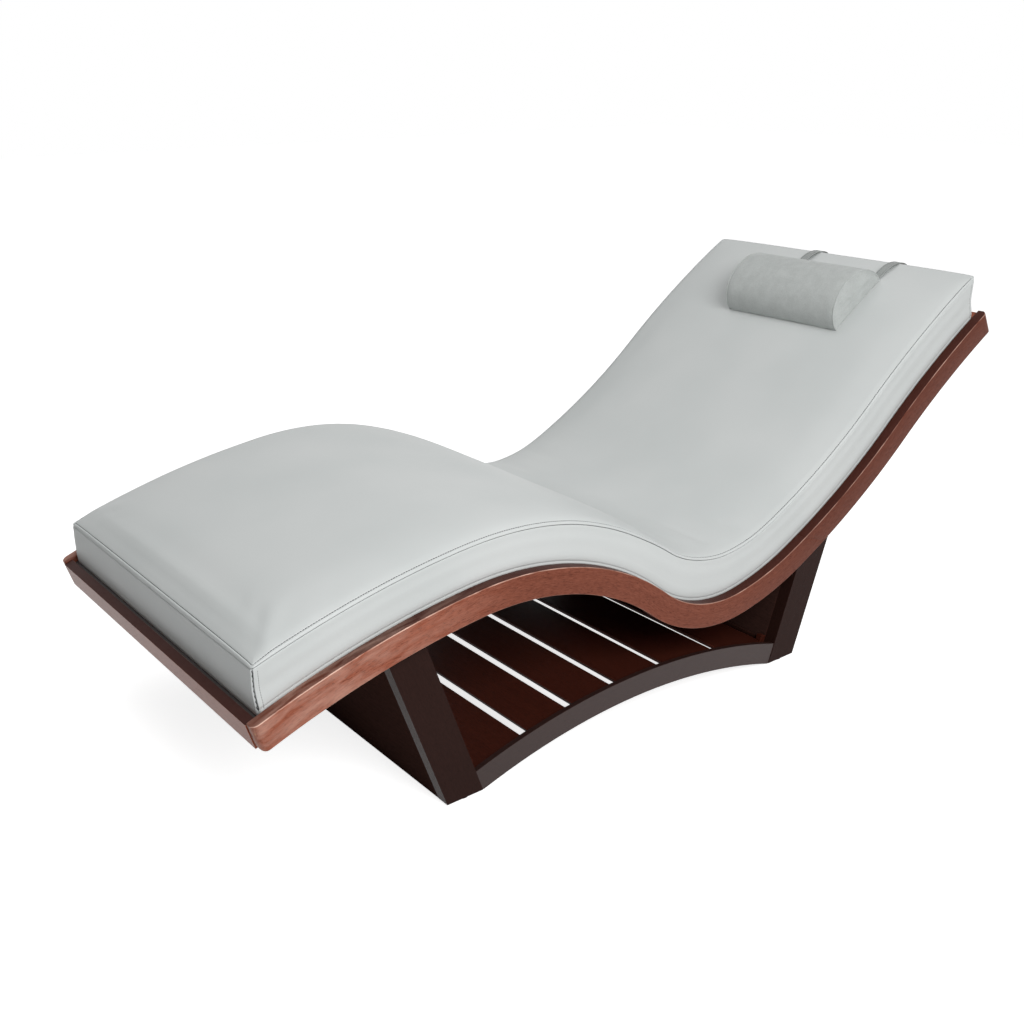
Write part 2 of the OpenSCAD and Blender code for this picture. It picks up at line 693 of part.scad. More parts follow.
// Half of a cross-section, from the underside up to the middle of the top
function half_section(s, in) = concat(
    [[base_w - in, in], [base_w - in, cushion_sink],
        [side_w - in, side_v], [seam_half - in, seam_t(s) - in]],
    [for (share = top_shares)
        let (rise = (middle_t(s) - seam_t(s)) * crown_profile(share))
        [share * (seam_half - in), seam_t(s) + rise - in]]);
function ring(s, in) =
    let (half = half_section(s, in), n = len(half), up = up_at(s),
        k = 1 / cos(up - state_at(s)[2] - 90), foot = wave_point(s, -cushion_sink))
    [for (q = concat(half, [for (i = [n - 2:-1:0]) [-half[i][0], half[i][1]]]))
        [foot[0] + k * q[1] * cos(up), q[0], foot[1] + k * q[1] * sin(up)]];
function cushion_rings(in) =
    let (from = cushion_from + in, to = cushion_to - in, end_run = crown_run + crown_edge)
    [for (s = concat([from, from + crown_edge, from + crown_run],
            [for (s = stations(from, to, ring_step, ring_angle))
                if (s > from + end_run && s < to - end_run) s],
            [to - crown_run, to - crown_edge, to])) ring(s, in)];

// A closed solid through rings of equal length, each end closed by a fan of triangles from
// the ring's topmost point, its hub
function ring_faces(count, n, hub) = concat(
    [for (i = [0:count - 2], j = [0:n - 1]) [i * n + j, (i + 1) * n + j, i * n + (j + 1) % n]],
    [for (i = [0:count - 2], j = [0:n - 1])
        [i * n + (j + 1) % n, (i + 1) * n + j, (i + 1) * n + (j + 1) % n]],
    [for (j = [1:n - 2]) [hub, (hub + j) % n, (hub + j + 1) % n]],
    [for (j = [1:n - 2]) (count - 1) * n * [1, 1, 1] + [hub, (hub + j + 1) % n, (hub + j) % n]]);
module ring_solid(rings, hub) {
    polyhedron(points = [for (r = rings) each r], faces = ring_faces(len(rings), len(rings[0]), hub));
}
cushion_hub = len(half_section(cushion_from, 0)) - 1;
module cushion_foam() {
    color("khaki") centred() ring_solid(cushion_rings(cover_t + fit_gap), cushion_hub);
}
module cushion_cover() {
    color(vinyl) centred() difference() {
        ring_solid(cushion_rings(0), cushion_hub);
        ring_solid(cushion_rings(cover_t), cushion_hub);
    }
}

// Head pillow

// The pillow slides round the centre of the last stretch of the line
head_start = starts[last_stretch];
slide_centre = [head_start[0] + head_r * sin(head_start[2]), head_start[1] - head_r * cos(head_start[2])];
surface_r = head_r + cushion_t + back_fill - cushion_sink;
pillow_gap = 0.6;
pillow_skew = 6;
pillow_s = wave_len - pillow_reach - pillow_d / 2 * head_r / surface_r;
pillow_heading = state_at(pillow_s)[2];
// A place on the pillow: along the back, across the bed, and above the cushion's seam level
function on_back(u, y, v) =
    let (a = pillow_heading - u / surface_r * 180 / PI, r = surface_r + v)
    [slide_centre[0] - r * sin(a), y, slide_centre[1] + r * cos(a)];
function roof(y) =
    let (ridge = back_crown, eave = back_crown * crown_profile(top_shares[1]))
    ridge - (ridge - eave) * abs(y) / (top_shares[1] * seam_half);
// The half-round section, scaled about the middle of its underside: its front and back
// stand upright for a share of its height before the round begins
pillow_top_steps = 12;
pillow_under_shares = [0.9, 0.5, 0, -0.5, -0.9];
pillow_upright_share = 0.06;
function pillow_rise(i) =
    let (upright = i == 0 || i == pillow_top_steps ? 0 : pillow_upright_share)
    sin(180 * i / pillow_top_steps) * (1 - pillow_upright_share) + upright;
function pillow_ring(y, share, in) =
    let (a = pillow_d / 2 * share - in, h = pillow_h * share - 2 * in, v0 = roof(y) + pillow_gap + in)
    concat([for (under = pillow_under_shares) on_back(under * a, y, v0)],
        [for (i = [0:pillow_top_steps])
            let (t = 180 * i / pillow_top_steps)
            on_back(-a * cos(t) - pillow_skew * sin(t), y, v0 + h * pillow_rise(i))]);
// Rings across the pillow: a share of its half width, and the section's share there
pillow_ring_shares = [[-1, 0.97], [-0.98, 1], [-0.5, 1], [0, 1], [0.5, 1], [0.98, 1], [1, 0.97]];
function pillow_rings(in) = [for (q = pillow_ring_shares)
    pillow_ring(pillow_shift + q[0] * (pillow_w / 2 - in), q[1], in)];
pillow_hub = len(pillow_under_shares) + pillow_top_steps / 2;
module pillow_foam() { color("khaki") centred() ring_solid(pillow_rings(cover_t + fit_gap), pillow_hub); }
module pillow_cover() {
    color(suede) centred() difference() {
        ring_solid(pillow_rings(0), pillow_hub);
        ring_solid(pillow_rings(cover_t), pillow_hub);
    }
}

// Straps and the weight that balances the pillow

strap_places = [strap_shift - strap_pitch / 2, strap_shift + strap_pitch / 2];
// A strap springs proud of the cushion between the pillow and the head end, and bows out
// past the head end before it falls behind
strap_spring = 3;
strap_bow = 8;
// Corner of the cushion's head end that the straps turn over
turn_point = let (q = ring(cushion_to, 0)[3]) [q[0], q[2]];
strap_top = turn_point[1] + end_crown + strap_t + strap_spring;
strap_v = roof(strap_places[0]) + pillow_gap + strap_t;
function back_point(u, v) = let (q = on_back(u, 0, v)) [q[0], q[2]];
sleeve_top = bar_rise + 2 * sleeve_r;
// Corners that the middle of a strap's thickness is rounded between, pillow to weight
strap_corners = [
    back_point(pillow_d / 2 + soft_gap, strap_v),
    back_point(pillow_d / 2 + strap_w, strap_v + strap_spring),
    [turn_point[0] - strap_w / 2, strap_top],
    [bar_x + strap_bow, strap_top],
    [bar_x, turn_point[1] - strap_w],
    [bar_x, sleeve_top + fit_gap]];
strap_steps = 6;
function middle(a, b) = (a + b) / 2;
function bent(a, b, c, t) = (1 - t) * (1 - t) * a + 2 * t * (1 - t) * b + t * t * c;
last_corner = len(strap_corners) - 1;
// The rounding of one corner runs from the middle of the stretch before it to the middle of
// the stretch after it, and at the path's two ends right from and to the end
function before(i) = i == 1 ? strap_corners[0] : middle(strap_corners[i - 1], strap_corners[i]);
function after(i) = i == last_corner - 1 ? strap_corners[last_corner] : before(i + 1);
strap_path = [for (i = [1:last_corner - 1], k = [(i == 1 ? 0 : 1):strap_steps])
    bent(before(i), strap_corners[i], after(i), k / strap_steps)];
function beside(path, i, d) =
    let (a = path[max(i - 1, 0)], b = path[min(i + 1, len(path) - 1)], run = b - a, l = norm(run))
    path[i] + d / l * [-run[1], run[0]];
module strap(i) {
    y = strap_places[i];
    across(y - strap_w / 2, y + strap_w / 2) polygon(concat(
        [for (k = [0:len(strap_path) - 1]) beside(strap_path, k, strap_t / 2)],
        [for (k = [len(strap_path) - 1:-1:0]) beside(strap_path, k, -strap_t / 2)]));
}
module strap_right() { color(suede) centred() strap(0); }
module strap_left() { color(suede) centred() strap(1); }

bar_from = strap_shift - bar_l / 2;
bar_to = strap_shift + bar_l / 2;
module weight_bar() { color(steel) centred() pin_y([bar_x, bar_rise], bar_r, bar_from, bar_to); }
module weight_sleeve() {
    color(suede) centred() difference() {
        across(bar_from - soft_gap - cover_t, bar_to + soft_gap + cover_t) translate([bar_x, bar_rise]) {
            circle(r = sleeve_r);
            polygon([[-sleeve_r, 0], [sleeve_r, 0],
                [strap_t / 2, 2 * sleeve_r], [-strap_t / 2, 2 * sleeve_r]]);
        }
        pin_y([bar_x, bar_rise], bar_r + soft_gap, bar_from - soft_gap, bar_to + soft_gap);
    }
}

rail_left_lower();
rail_left_upper();
rail_right_lower();
rail_right_upper();
foot_crossbar();
head_crossbar();
crossbar_dowels();
deck_panel();
deck_cleat_left();
deck_cleat_right();
deck_screws();
grip_strips();
front_leg_left();
front_leg_right();
rear_leg_left();
rear_leg_right();
front_outer_panel();
front_inner_panel();
rear_inner_panel();
rear_outer_panel();
front_beam();
rear_beam();
leg_bolts();
leg_inserts();
floor_glides();
arch_rail_left();
arch_rail_right();
arch_dowels();
shelf_slat_1();
shelf_slat_2();
shelf_slat_3();
shelf_slat_4();
shelf_slat_5();
shelf_slat_6();
shelf_battens();
corner_blocks();
cushion_foam();
cushion_cover();
pillow_foam();
pillow_cover();
strap_left();
strap_right();
weight_bar();
weight_sleeve();
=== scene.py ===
"""Looks of a spa relaxation lounger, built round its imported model.

Lengths are in millimetres, as in the part's source, and make_piece turns them to metres.
X runs from the foot end to the head end, Y across the bed, Z up from the floor.
"""

import math

import bmesh
import bpy
import numpy as np
from mathutils import Matrix, Vector, noise


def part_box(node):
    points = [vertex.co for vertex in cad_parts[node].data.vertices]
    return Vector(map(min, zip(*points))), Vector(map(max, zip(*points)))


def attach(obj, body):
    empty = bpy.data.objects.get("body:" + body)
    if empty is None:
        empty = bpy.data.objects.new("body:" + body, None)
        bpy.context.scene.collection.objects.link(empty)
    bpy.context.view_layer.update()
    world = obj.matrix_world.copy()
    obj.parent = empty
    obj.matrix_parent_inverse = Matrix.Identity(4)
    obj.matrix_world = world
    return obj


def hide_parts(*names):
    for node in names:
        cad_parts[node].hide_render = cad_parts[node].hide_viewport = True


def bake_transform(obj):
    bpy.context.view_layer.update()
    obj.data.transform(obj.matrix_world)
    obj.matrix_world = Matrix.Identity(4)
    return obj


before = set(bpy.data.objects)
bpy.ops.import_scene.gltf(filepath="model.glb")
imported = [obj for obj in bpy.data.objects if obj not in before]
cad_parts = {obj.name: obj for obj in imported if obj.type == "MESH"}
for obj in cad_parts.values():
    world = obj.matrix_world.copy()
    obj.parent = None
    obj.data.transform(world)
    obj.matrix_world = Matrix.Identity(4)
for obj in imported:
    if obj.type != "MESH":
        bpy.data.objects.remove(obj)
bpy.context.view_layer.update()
MM = 0.001

# Camera: the photograph's viewpoint, its focal length in pixels of a 1024 pixel frame
CAMERA_AT = (-1629.3, -1919.9, 1263.7)
CAMERA_YAW = 38.09
CAMERA_PITCH = 20.78
CAMERA_ROLL = 0.218
FOCAL_PX = 1209.5
FRAME_PX = 1024
SENSOR = 36

# Wave line: the rails' top edge, as stretches of a radius and a turn in degrees
STRETCHES = [(1700, -15.2), (600, -46), (273, 49.5), (583, 16.2), (1590, 14), (2100, -10.3)]
FOOT_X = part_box("rail_left_lower")[0].x / MM
FOOT_RISE = 306
FOOT_CLIMB = 21.7

# Wave rails
RAIL_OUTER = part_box("rail_left_lower")[1].y / MM
RAIL_T = 24
RAIL_INNER = RAIL_OUTER - RAIL_T
RAIL_DEPTH = 52
RAIL_END_R = 14
RAIL_TOE_R = 9
RAIL_EASE = 1.6
END_SLANT = 4.5
SCARF_RUN = 48
# Reaches over which the foot end's slant and the scarf's slant die away
END_SLANT_FADE = 60
SCARF_FADE = 220
# Sections along a rail, and the stretch at each end that has its own closer ones
RAIL_STEP = 9
RAIL_END_ZONE = 20
# Grain places are moved by this from board to board, so that no two look the same
BOARD_SHIFT = (733, 211, 317)
RAIL_SHIFT = 900
UPPER_SHIFT = 400
# Easing of the boards' edges
BOARD_EASE = 1.2
BLOCK_EASE = 0.8
CROSSBAR_EASE = 1.4
# Lean of the legs from upright, in degrees
LEG_LEAN = 19.2

# Cushion
CUSHION_SINK = 10
CUSHION_T = 78
BACK_FILL = 4
SEAT_FILL = 11
END_FILL = 1
LEG_CROWN = 24
BACK_CROWN = 15
END_CROWN = 3
SEAM_HALF = 388
BASE_HALF = 397
DRAW_IN = 4
FOOT_LEAN = -1
HEAD_LEAN = 4
CROSSBAR_T = 18
FIT_GAP = 0.05
FOOT_BAR_INSET = 2
FOOT_BAR_DROP = 4
FOOT_GAP = 1.5
HEAD_BAR_INSET = 5
HEAD_GAP = 6
BLEND_L = 160
SEAT_SPREAD = 230
END_SPREAD = 200
CROWN_RUN = 50
SIDE_SHARE = 0.55
# Rounding of the cushion's upright corners, how far from them the cover is held by their
# seams, and the squares of its surface
CORNER_R = 7
CORNER_STEPS = 18
CORNER_HELD = 9
SQUARE = 12

# Head pillow and its straps
PILLOW_W = 332
PILLOW_D = 182
PILLOW_H = 81
PILLOW_SHIFT = -22
PILLOW_REACH = 51
PILLOW_SKEW = 6
PILLOW_GAP = 0.6
# The plain cushion's top slopes flat on both sides, from its middle to this share of its
# half width, and the plain pillow lies on these slopes
EAVE_SHARE = 0.7
STRAP_W = 22
STRAP_T = 2
STRAP_YS = (-174, 62)
STRAP_SPRING = 3
STRAP_BOW = 5
STRAP_FALL = 8
# Points on each rounding of a strap's path, and the height of the middle of the weight's sleeve
STRAP_STEPS = 16
BAR_RISE = 510

# Stitches: their pitch, their length and the thread's radius
TOP_STITCH = (5, 4.1, 0.75)
CORNER_STITCH = (4, 3.2, 0.4)
STRAP_STITCH = (4.4, 3.4, 0.42)

# Studio
FLOOR_SIZE = 30000
FLAG_X = -2700
FLAG_HALF = 3200
FLAG_LOW = 60
FLAG_HIGH = 1500


# Small tools


def linear(colour):
    """An sRGB hex colour as the linear colour that shaders work in."""
    parts = [int(colour[i:i + 2], 16) / 255 for i in (1, 3, 5)]
    return [p / 12.92 if p <= 0.04045 else ((p + 0.055) / 1.055) ** 2.4 for p in parts] + [1]


def plug(tree, node, sockets):
    """Fills a node's sockets with values or links."""
    for name, value in sockets.items():
        if isinstance(value, bpy.types.NodeSocket):
            tree.links.new(value, node.inputs[name])
        else:
            node.inputs[name].default_value = value


def add(tree, kind, sockets=None, **settings):
    """Adds a shader node, makes its settings, and fills its sockets."""
    made = tree.nodes.new(kind)
    for name, value in settings.items():
        setattr(made, name, value)
    plug(tree, made, sockets or {})
    return made


def smooth(part):
    """An eased step: 0 up to 0, 1 from 1 on."""
    u = min(max(part, 0), 1)
    return u * u * (3 - 2 * u)


def cut_back(radius, distance):
    """How far a rounded corner of that radius stands back at a distance from its end."""
    short = max(radius - distance, 0)
    return radius - math.sqrt(radius * radius - short * short)


def put(name, data):
    """A new object in the scene, which shows a mesh, a lamp or a camera."""
    made = bpy.data.objects.new(name, data)
    bpy.context.scene.collection.objects.link(made)
    return made


def make_piece(name, points, faces, material, body, slot, node=None):
    """A mesh from points in millimetres, riding on a body, in place of a CAD node."""
    mesh = bpy.data.meshes.new(name)
    mesh.from_pydata([[c * MM for c in p] for p in points], [], faces)
    mesh.materials.append(material)
    mesh.polygons.foreach_set("use_smooth", [True] * len(mesh.polygons))
    mesh.update()
    made = put(name, mesh)
    if body:
        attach(made, body)
    if node:
        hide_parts(*([node] if isinstance(node, str) else node))
    return made


def give(made, name, kind, values):
    """Stores a value for each point of a mesh, which its material reads."""
    made.data.attributes.new(name, kind, "POINT")
    field = "vector" if kind == "FLOAT_VECTOR" else "value"
    made.data.attributes[name].data.foreach_set(field, np.asarray(values, np.float32).ravel())


def sweep(sections, closed_ends=True):
    """Points and faces of a solid through sections, which are loops of equal length."""
    n = len(sections[0])
    points = [p for section in sections for p in section]
    faces = [(i * n + j, i * n + (j + 1) % n, (i + 1) * n + (j + 1) % n, (i + 1) * n + j)
             for i in range(len(sections) - 1) for j in range(n)]
    if closed_ends:
        faces += [tuple(reversed(range(n))), tuple(range(len(points) - n, len(points)))]
    return points, faces


def tube(path, radius, sides=8, closed=False):
    """Points and faces of a round tube along a path."""
    path = [Vector(p) for p in path]
    count = len(path)
    rings, side = [], None
    for i, p in enumerate(path):
        before = path[i - 1] if closed or i else p
        after = path[(i + 1) % count] if closed or i < count - 1 else p
        run = (after - before).normalized()
        side = side or run.orthogonal()
        side = (side - run * side.dot(run)).normalized()
        up = run.cross(side)
        turns = [2 * math.pi * k / sides for k in range(sides)]
        rings.append([p + radius * (math.cos(a) * side + math.sin(a) * up) for a in turns])
    if not closed:
        return sweep(rings)
    points, faces = sweep(rings, False)
    last = len(points) - sides
    twist = min(range(sides), key=lambda k: (rings[-1][0] - rings[0][k]).length)
    faces += [(last + j, last + (j + 1) % sides, (j + 1 + twist) % sides, (j + twist) % sides)
              for j in range(sides)]
    return points, faces


def joined(shapes):
    """Several lots of points and faces as one."""
    points, faces = [], []
    for some_points, some_faces in shapes:
        start = len(points)
        points += [tuple(p) for p in some_points]
        faces += [tuple(start + i for i in face) for face in some_faces]
    return points, faces


# The wave line


def walk(state, radius, turn):
    """The state, a point and its heading, after a stretch of the line or a part of one."""
    x, z, heading = state
    to, side = heading + turn, math.copysign(1, turn)
    a, b = math.radians(heading), math.radians(to)
    return (x + side * radius * (math.sin(b) - math.sin(a)),
            z - side * radius * (math.cos(b) - math.cos(a)), to)


STARTS = [(FOOT_X, FOOT_RISE, FOOT_CLIMB)]
REACHES = [0]
for radius, turn in STRETCHES:
    STARTS.append(walk(STARTS[-1], radius, turn))
    REACHES.append(REACHES[-1] + radius * math.radians(abs(turn)))
WAVE_LEN = REACHES[-1]
FROM = (FOOT_BAR_INSET + END_SLANT * (1 - FOOT_BAR_DROP / RAIL_DEPTH) + CROSSBAR_T + FIT_GAP
        + FOOT_GAP)
TO = WAVE_LEN - HEAD_BAR_INSET - CROSSBAR_T - FIT_GAP - HEAD_GAP


def state_at(s):
    """Place and heading of the line at a reach from its foot end."""
    last = len(STRETCHES) - 1
    i = max([k for k in range(last + 1) if s >= REACHES[k]], default=0)
    radius, turn = STRETCHES[i]
    return walk(STARTS[i], radius, turn * (s - REACHES[i]) / (REACHES[i + 1] - REACHES[i]))


def wave_point(s, height, y):
    """The place at a reach along the line, a height square to it, and a Y across the bed."""
    x, z, heading = state_at(s)
    a = math.radians(heading)
    return (x - height * math.sin(a), y, z + height * math.cos(a))


# The upper rails start at the scarf joint's upper edge
SCARF_REACH = next(s for s in np.arange(REACHES[3], WAVE_LEN, 0.05)
                   if state_at(s)[0] >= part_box("rail_left_upper")[0].x / MM)


# Cushion shape: the same thickness and crown as the CAD solid, drawn finer


def end_dist(s):
    """Distance along the line to the cushion's nearer end."""
    return min(s - FROM, TO - s)


def body_t(s):
    """Thickness at the top seam, before the ends' extra filling."""
    seat_mid = (REACHES[2] + REACHES[3]) / 2
    return (CUSHION_T + BACK_FILL * smooth((s - REACHES[1]) / (REACHES[2] - REACHES[1]) * 2)
            + SEAT_FILL * smooth(1 - abs(s - seat_mid) / SEAT_SPREAD))


def seam_t(s):
    """Thickness at the top seam."""
    return body_t(s) + END_FILL * smooth(1 - end_dist(s) / END_SPREAD)


# The crown's edge, within this distance of the seam, climbs steeply and then eases
EDGE_RUN = 23
EDGE_SHARE = 0.545
EDGE_EASE = 0.36


def crown_curve(share):
    """Share of the crown's height at a share of the cushion's half width."""
    return (1 - share ** 4) ** 0.4


def crown_profile(y):
    """Share of the crown's height at a Y across the bed."""
    inset = SEAM_HALF - abs(y)
    if inset >= EDGE_RUN:
        return crown_curve(abs(y / SEAM_HALF))
    u = max(inset, 0) / EDGE_RUN
    return EDGE_SHARE * (EDGE_EASE * u + (1 - EDGE_EASE) * (1 - (1 - u) ** 2))


def top_t(s, y):
    """Thickness of the cushion at a place on its top."""
    knee = smooth((s - REACHES[1]) / (REACHES[2] - REACHES[1]))
    full = body_t(s) + LEG_CROWN + (BACK_CROWN - LEG_CROWN) * knee
    u = min(max(end_dist(s), 0) / CROWN_RUN, 1)
    rise = END_CROWN + (full - seam_t(s) - END_CROWN) * (0.35 * u + 0.65 * smooth(u))
    return seam_t(s) + rise * crown_profile(y)


def in_bed(s, y, t):
    """A place in the cushion: reach along the line, Y, and height over its underside."""
    x, z, heading = state_at(s)
    square, upright = heading + 90, 90 - (FOOT_LEAN if s - FROM < TO - s else HEAD_LEAN)
    up = upright + (square - upright) * smooth(end_dist(s) / BLEND_L)
    k = t / math.cos(math.radians(up - square))
    foot = wave_point(s, -CUSHION_SINK, y)
    return (foot[0] + k * math.cos(math.radians(up)), y, foot[2] + k * math.sin(math.radians(up)))


def side_out(t, top):
    """How far the long sides stand out past the top seam at a height."""
    mid = top * SIDE_SHARE
    wide, drawn = BASE_HALF - SEAM_HALF, (BASE_HALF - SEAM_HALF) / 2 - DRAW_IN
    if t < CUSHION_SINK:
        return wide
    if t < mid:
        return wide + (drawn - wide) * smooth((t - CUSHION_SINK) / (mid - CUSHION_SINK))
    return drawn * (1 - smooth((t - mid) / (top - mid)))


# Materials


def new_material(name):
    """A material's own tree and shader, ready for its nodes."""
    made = bpy.data.materials.new(name)
    made.use_nodes = True
    return made, made.node_tree, made.node_tree.nodes["Principled BSDF"]


def patterned_material(name):
    """A material as above, with the piece's own coordinates for its pattern."""
    made, tree, shader = new_material(name)
    return made, tree, shader, add(tree, "ShaderNodeTexCoord").outputs["Object"]


def per_mm(size):
    """Scale of a texture whose pattern repeats about every so many millimetres."""
    return 1 / (size * MM)


def stained_wood(name, light, dark, pore, worn_and_highlit, roughness, shine):
    """Straight-grained hardwood under stain and satin lacquer.

    The eye gets slow bands of light and dark along the board, fine fibres in them, short
    dark pores that catch no gloss, and edges where the stain has thinned, whose pale colour
    on mahogany is partly a painted highlight. Where a piece asks for them, it also gets a
    darkening toward the pore colour, which on tops and inner faces is painted shade, and a
    painted reflection, a pale grey-pink wash.
    """
    made, tree, shader = new_material(name)
    grain = add(tree, "ShaderNodeAttribute", attribute_name="grain").outputs["Vector"]
    wear_and_highlight = add(tree, "ShaderNodeAttribute", attribute_name="wear_and_highlight").outputs["Fac"]
    # Painted shade on tops and inner faces, and other darkening toward the pore colour
    deep = add(tree, "ShaderNodeAttribute", attribute_name="deep").outputs["Fac"]
    # Painted reflection
    painted_reflection = add(tree, "ShaderNodeAttribute", attribute_name="painted_reflection").outputs["Fac"]

    def streaks(length, width, detail):
        stretched = add(tree, "ShaderNodeVectorMath", {0: grain, 1: (1 / length, 1 / width, 1 / width)},
                        operation="MULTIPLY")
        return add(tree, "ShaderNodeTexNoise", {"Vector": stretched.outputs[0], "Scale": 1, "Detail": detail,
                                                "Distortion": 0.4}).outputs["Fac"]

    bands = add(tree, "ShaderNodeMapRange", {"Value": streaks(300, 9, 3), "From Min": 0.25, "From Max": 0.75})
    fibres = add(tree, "ShaderNodeMapRange", {"Value": streaks(14, 2.2, 3), "From Min": 0.3, "From Max": 0.7})
    both = add(tree, "ShaderNodeMix", {0: 0.65, 2: bands.outputs[0], 3: fibres.outputs[0]})
    stain = add(tree, "ShaderNodeMix", {0: both.outputs[0], 6: linear(dark), 7: linear(light)},
                data_type="RGBA")
    # Real pores are a third of a millimetre wide; they are drawn wider so that they show
    dashes = add(tree, "ShaderNodeMapRange", {"Value": streaks(8, 0.9, 1), "From Min": 0.6, "From Max": 0.7})
    shown = add(tree, "ShaderNodeMath", {0: dashes.outputs[0], 1: 0.6}, operation="MULTIPLY")
    pored = add(tree, "ShaderNodeMix", {0: shown.outputs[0], 6: stain.outputs[2], 7: linear(pore)},
                data_type="RGBA")
    patches = add(tree, "ShaderNodeMapRange", {"Value": streaks(60, 14, 3), "From Min": 0.35,
                                               "From Max": 0.75})
    rubbed_and_highlit = add(tree, "ShaderNodeMath", {0: patches.outputs[0], 1: wear_and_highlight}, operation="MULTIPLY")
    # Painted shade, and the rails' darkening toward the head end, mixed toward the pore colour
    darkened = add(tree, "ShaderNodeMix", {0: deep, 6: pored.outputs[2], 7: linear(pore)}, data_type="RGBA")
    # Painted reflection: a pale grey-pink wash
    reflected = add(tree, "ShaderNodeMix", {0: painted_reflection, 6: darkened.outputs[2], 7: linear("#b9a09a")},
                data_type="RGBA")
    # Thinned stain on eased edges; on mahogany its pale colour is partly a painted highlight
    colour = add(tree, "ShaderNodeMix", {0: rubbed_and_highlit.outputs[0], 6: reflected.outputs[2], 7: linear(worn_and_highlit)},
                 data_type="RGBA")
    gloss = add(tree, "ShaderNodeMapRange", {"Value": dashes.outputs[0], "To Min": roughness,
                                             "To Max": roughness + 0.15})
    bump = add(tree, "ShaderNodeBump", {"Height": dashes.outputs[0], "Strength": 0.35, "Distance": 0.0002},
               invert=True)
    plug(tree, shader, {"Base Color": colour.outputs[2], "Roughness": gloss.outputs[0], "IOR": 1.5,
                        "Specular IOR Level": shine, "Normal": bump.outputs[0]})
    return made


def leatherette():
    """Vinyl-coated fabric with a fine embossed leather grain, stretched over foam.

    Its coat gives a soft broad sheen; the grain is too fine to see from afar and only
    breaks up the gloss. The tone drifts a little over the panel.
    """
    made, tree, shader, place = patterned_material("light grey leatherette")
    # Real grain cells are about 1 mm; they are drawn at twice that so that they show
    cells = add(tree, "ShaderNodeTexVoronoi", {"Vector": place, "Scale": per_mm(2.2), "Smoothness": 0.6},
                feature="SMOOTH_F1")
    creases = add(tree, "ShaderNodeTexNoise", {"Vector": place, "Scale": per_mm(9), "Detail": 3})
    drift = add(tree, "ShaderNodeTexNoise", {"Vector": place, "Scale": per_mm(240), "Detail": 2})
    tone = add(tree, "ShaderNodeMapRange", {"Value": drift.outputs["Fac"], "From Min": 0.3, "From Max": 0.7})
    colour = add(tree, "ShaderNodeMix", {0: tone.outputs[0], 6: linear("#c9cdcc"), 7: linear("#d0d3d2")},
                 data_type="RGBA")
    gloss = add(tree, "ShaderNodeMapRange", {"Value": creases.outputs["Fac"], "To Min": 0.42, "To Max": 0.54})
    relief = add(tree, "ShaderNodeMath", {0: cells.outputs["Distance"], 1: creases.outputs["Fac"]},
                 operation="ADD")
    bump = add(tree, "ShaderNodeBump", {"Height": relief.outputs[0], "Strength": 0.12, "Distance": 0.0003})
    plug(tree, shader, {"Base Color": colour.outputs[2], "Roughness": gloss.outputs[0], "IOR": 1.5,
                        "Normal": bump.outputs[0]})
    return made


def brushed_suede(name, dark, light):
    """Microfibre suede: a short nap that lies one way here and another there.

    The eye gets cloudy patches where the nap was stroked, a fine fuzz, and a pale rim.
    """
    made, tree, shader, place = patterned_material(name)
    clouds = add(tree, "ShaderNodeTexNoise", {"Vector": place, "Scale": per_mm(26), "Detail": 5,
                                              "Roughness": 0.62})
    fuzz = add(tree, "ShaderNodeTexNoise", {"Vector": place, "Scale": per_mm(2.4), "Detail": 3})
    mixed = add(tree, "ShaderNodeMath", {0: fuzz.outputs["Fac"], 1: 0.9, 2: clouds.outputs["Fac"]},
                operation="MULTIPLY_ADD")
    tone = add(tree, "ShaderNodeMapRange", {"Value": mixed.outputs[0], "From Min": 0.72, "From Max": 1.18})
    colour = add(tree, "ShaderNodeMix", {0: tone.outputs[0], 6: linear(dark), 7: linear(light)},
                 data_type="RGBA")
    bump = add(tree, "ShaderNodeBump", {"Height": fuzz.outputs["Fac"], "Strength": 0.3, "Distance": 0.0005})
    plug(tree, shader, {"Base Color": colour.outputs[2], "Roughness": 0.92, "IOR": 1.45,
                        "Sheen Weight": 0.25, "Sheen Roughness": 0.5, "Normal": bump.outputs[0]})
    return made


def spun_thread(name, colour):
    """Bonded polyester thread: three plies twisted together, dull, with a slight shine."""
    made, tree, shader, place = patterned_material(name)
    plies = add(tree, "ShaderNodeTexNoise", {"Vector": place, "Scale": per_mm(0.8), "Detail": 1})
    tone = add(tree, "ShaderNodeMix", {0: plies.outputs["Fac"], 6: linear(colour), 7: linear("#4c4e50")},
               data_type="RGBA")
    plug(tree, shader, {"Base Color": tone.outputs[2], "Roughness": 0.6})
    return made


def plywood(name, dark, light):
    """Plywood, either sanded birch under a thin clear coat or faced with a dark film."""
    made, tree, shader, place = patterned_material(name)
    flat = add(tree, "ShaderNodeVectorMath", {0: place, 1: (0.12, 1, 1)}, operation="MULTIPLY")
    figure = add(tree, "ShaderNodeTexNoise", {"Vector": flat.outputs[0], "Scale": per_mm(16), "Detail": 4})
    colour = add(tree, "ShaderNodeMix", {0: figure.outputs["Fac"], 6: linear(dark), 7: linear(light)},
                 data_type="RGBA")
    plug(tree, shader, {"Base Color": colour.outputs[2], "Roughness": 0.6})
    return made


def turned_beech():
    """Beech dowel rod, straight from the lathe: warm and even, with short flecks."""
    made, tree, shader, place = patterned_material("turned beech")
    flecks = add(tree, "ShaderNodeTexNoise", {"Vector": place, "Scale": per_mm(3), "Detail": 2})
    colour = add(tree, "ShaderNodeMix", {0: flecks.outputs["Fac"], 6: linear("#b28a5e"),
                                         7: linear("#cfaa80")}, data_type="RGBA")
    plug(tree, shader, {"Base Color": colour.outputs[2], "Roughness": 0.65})
    return made


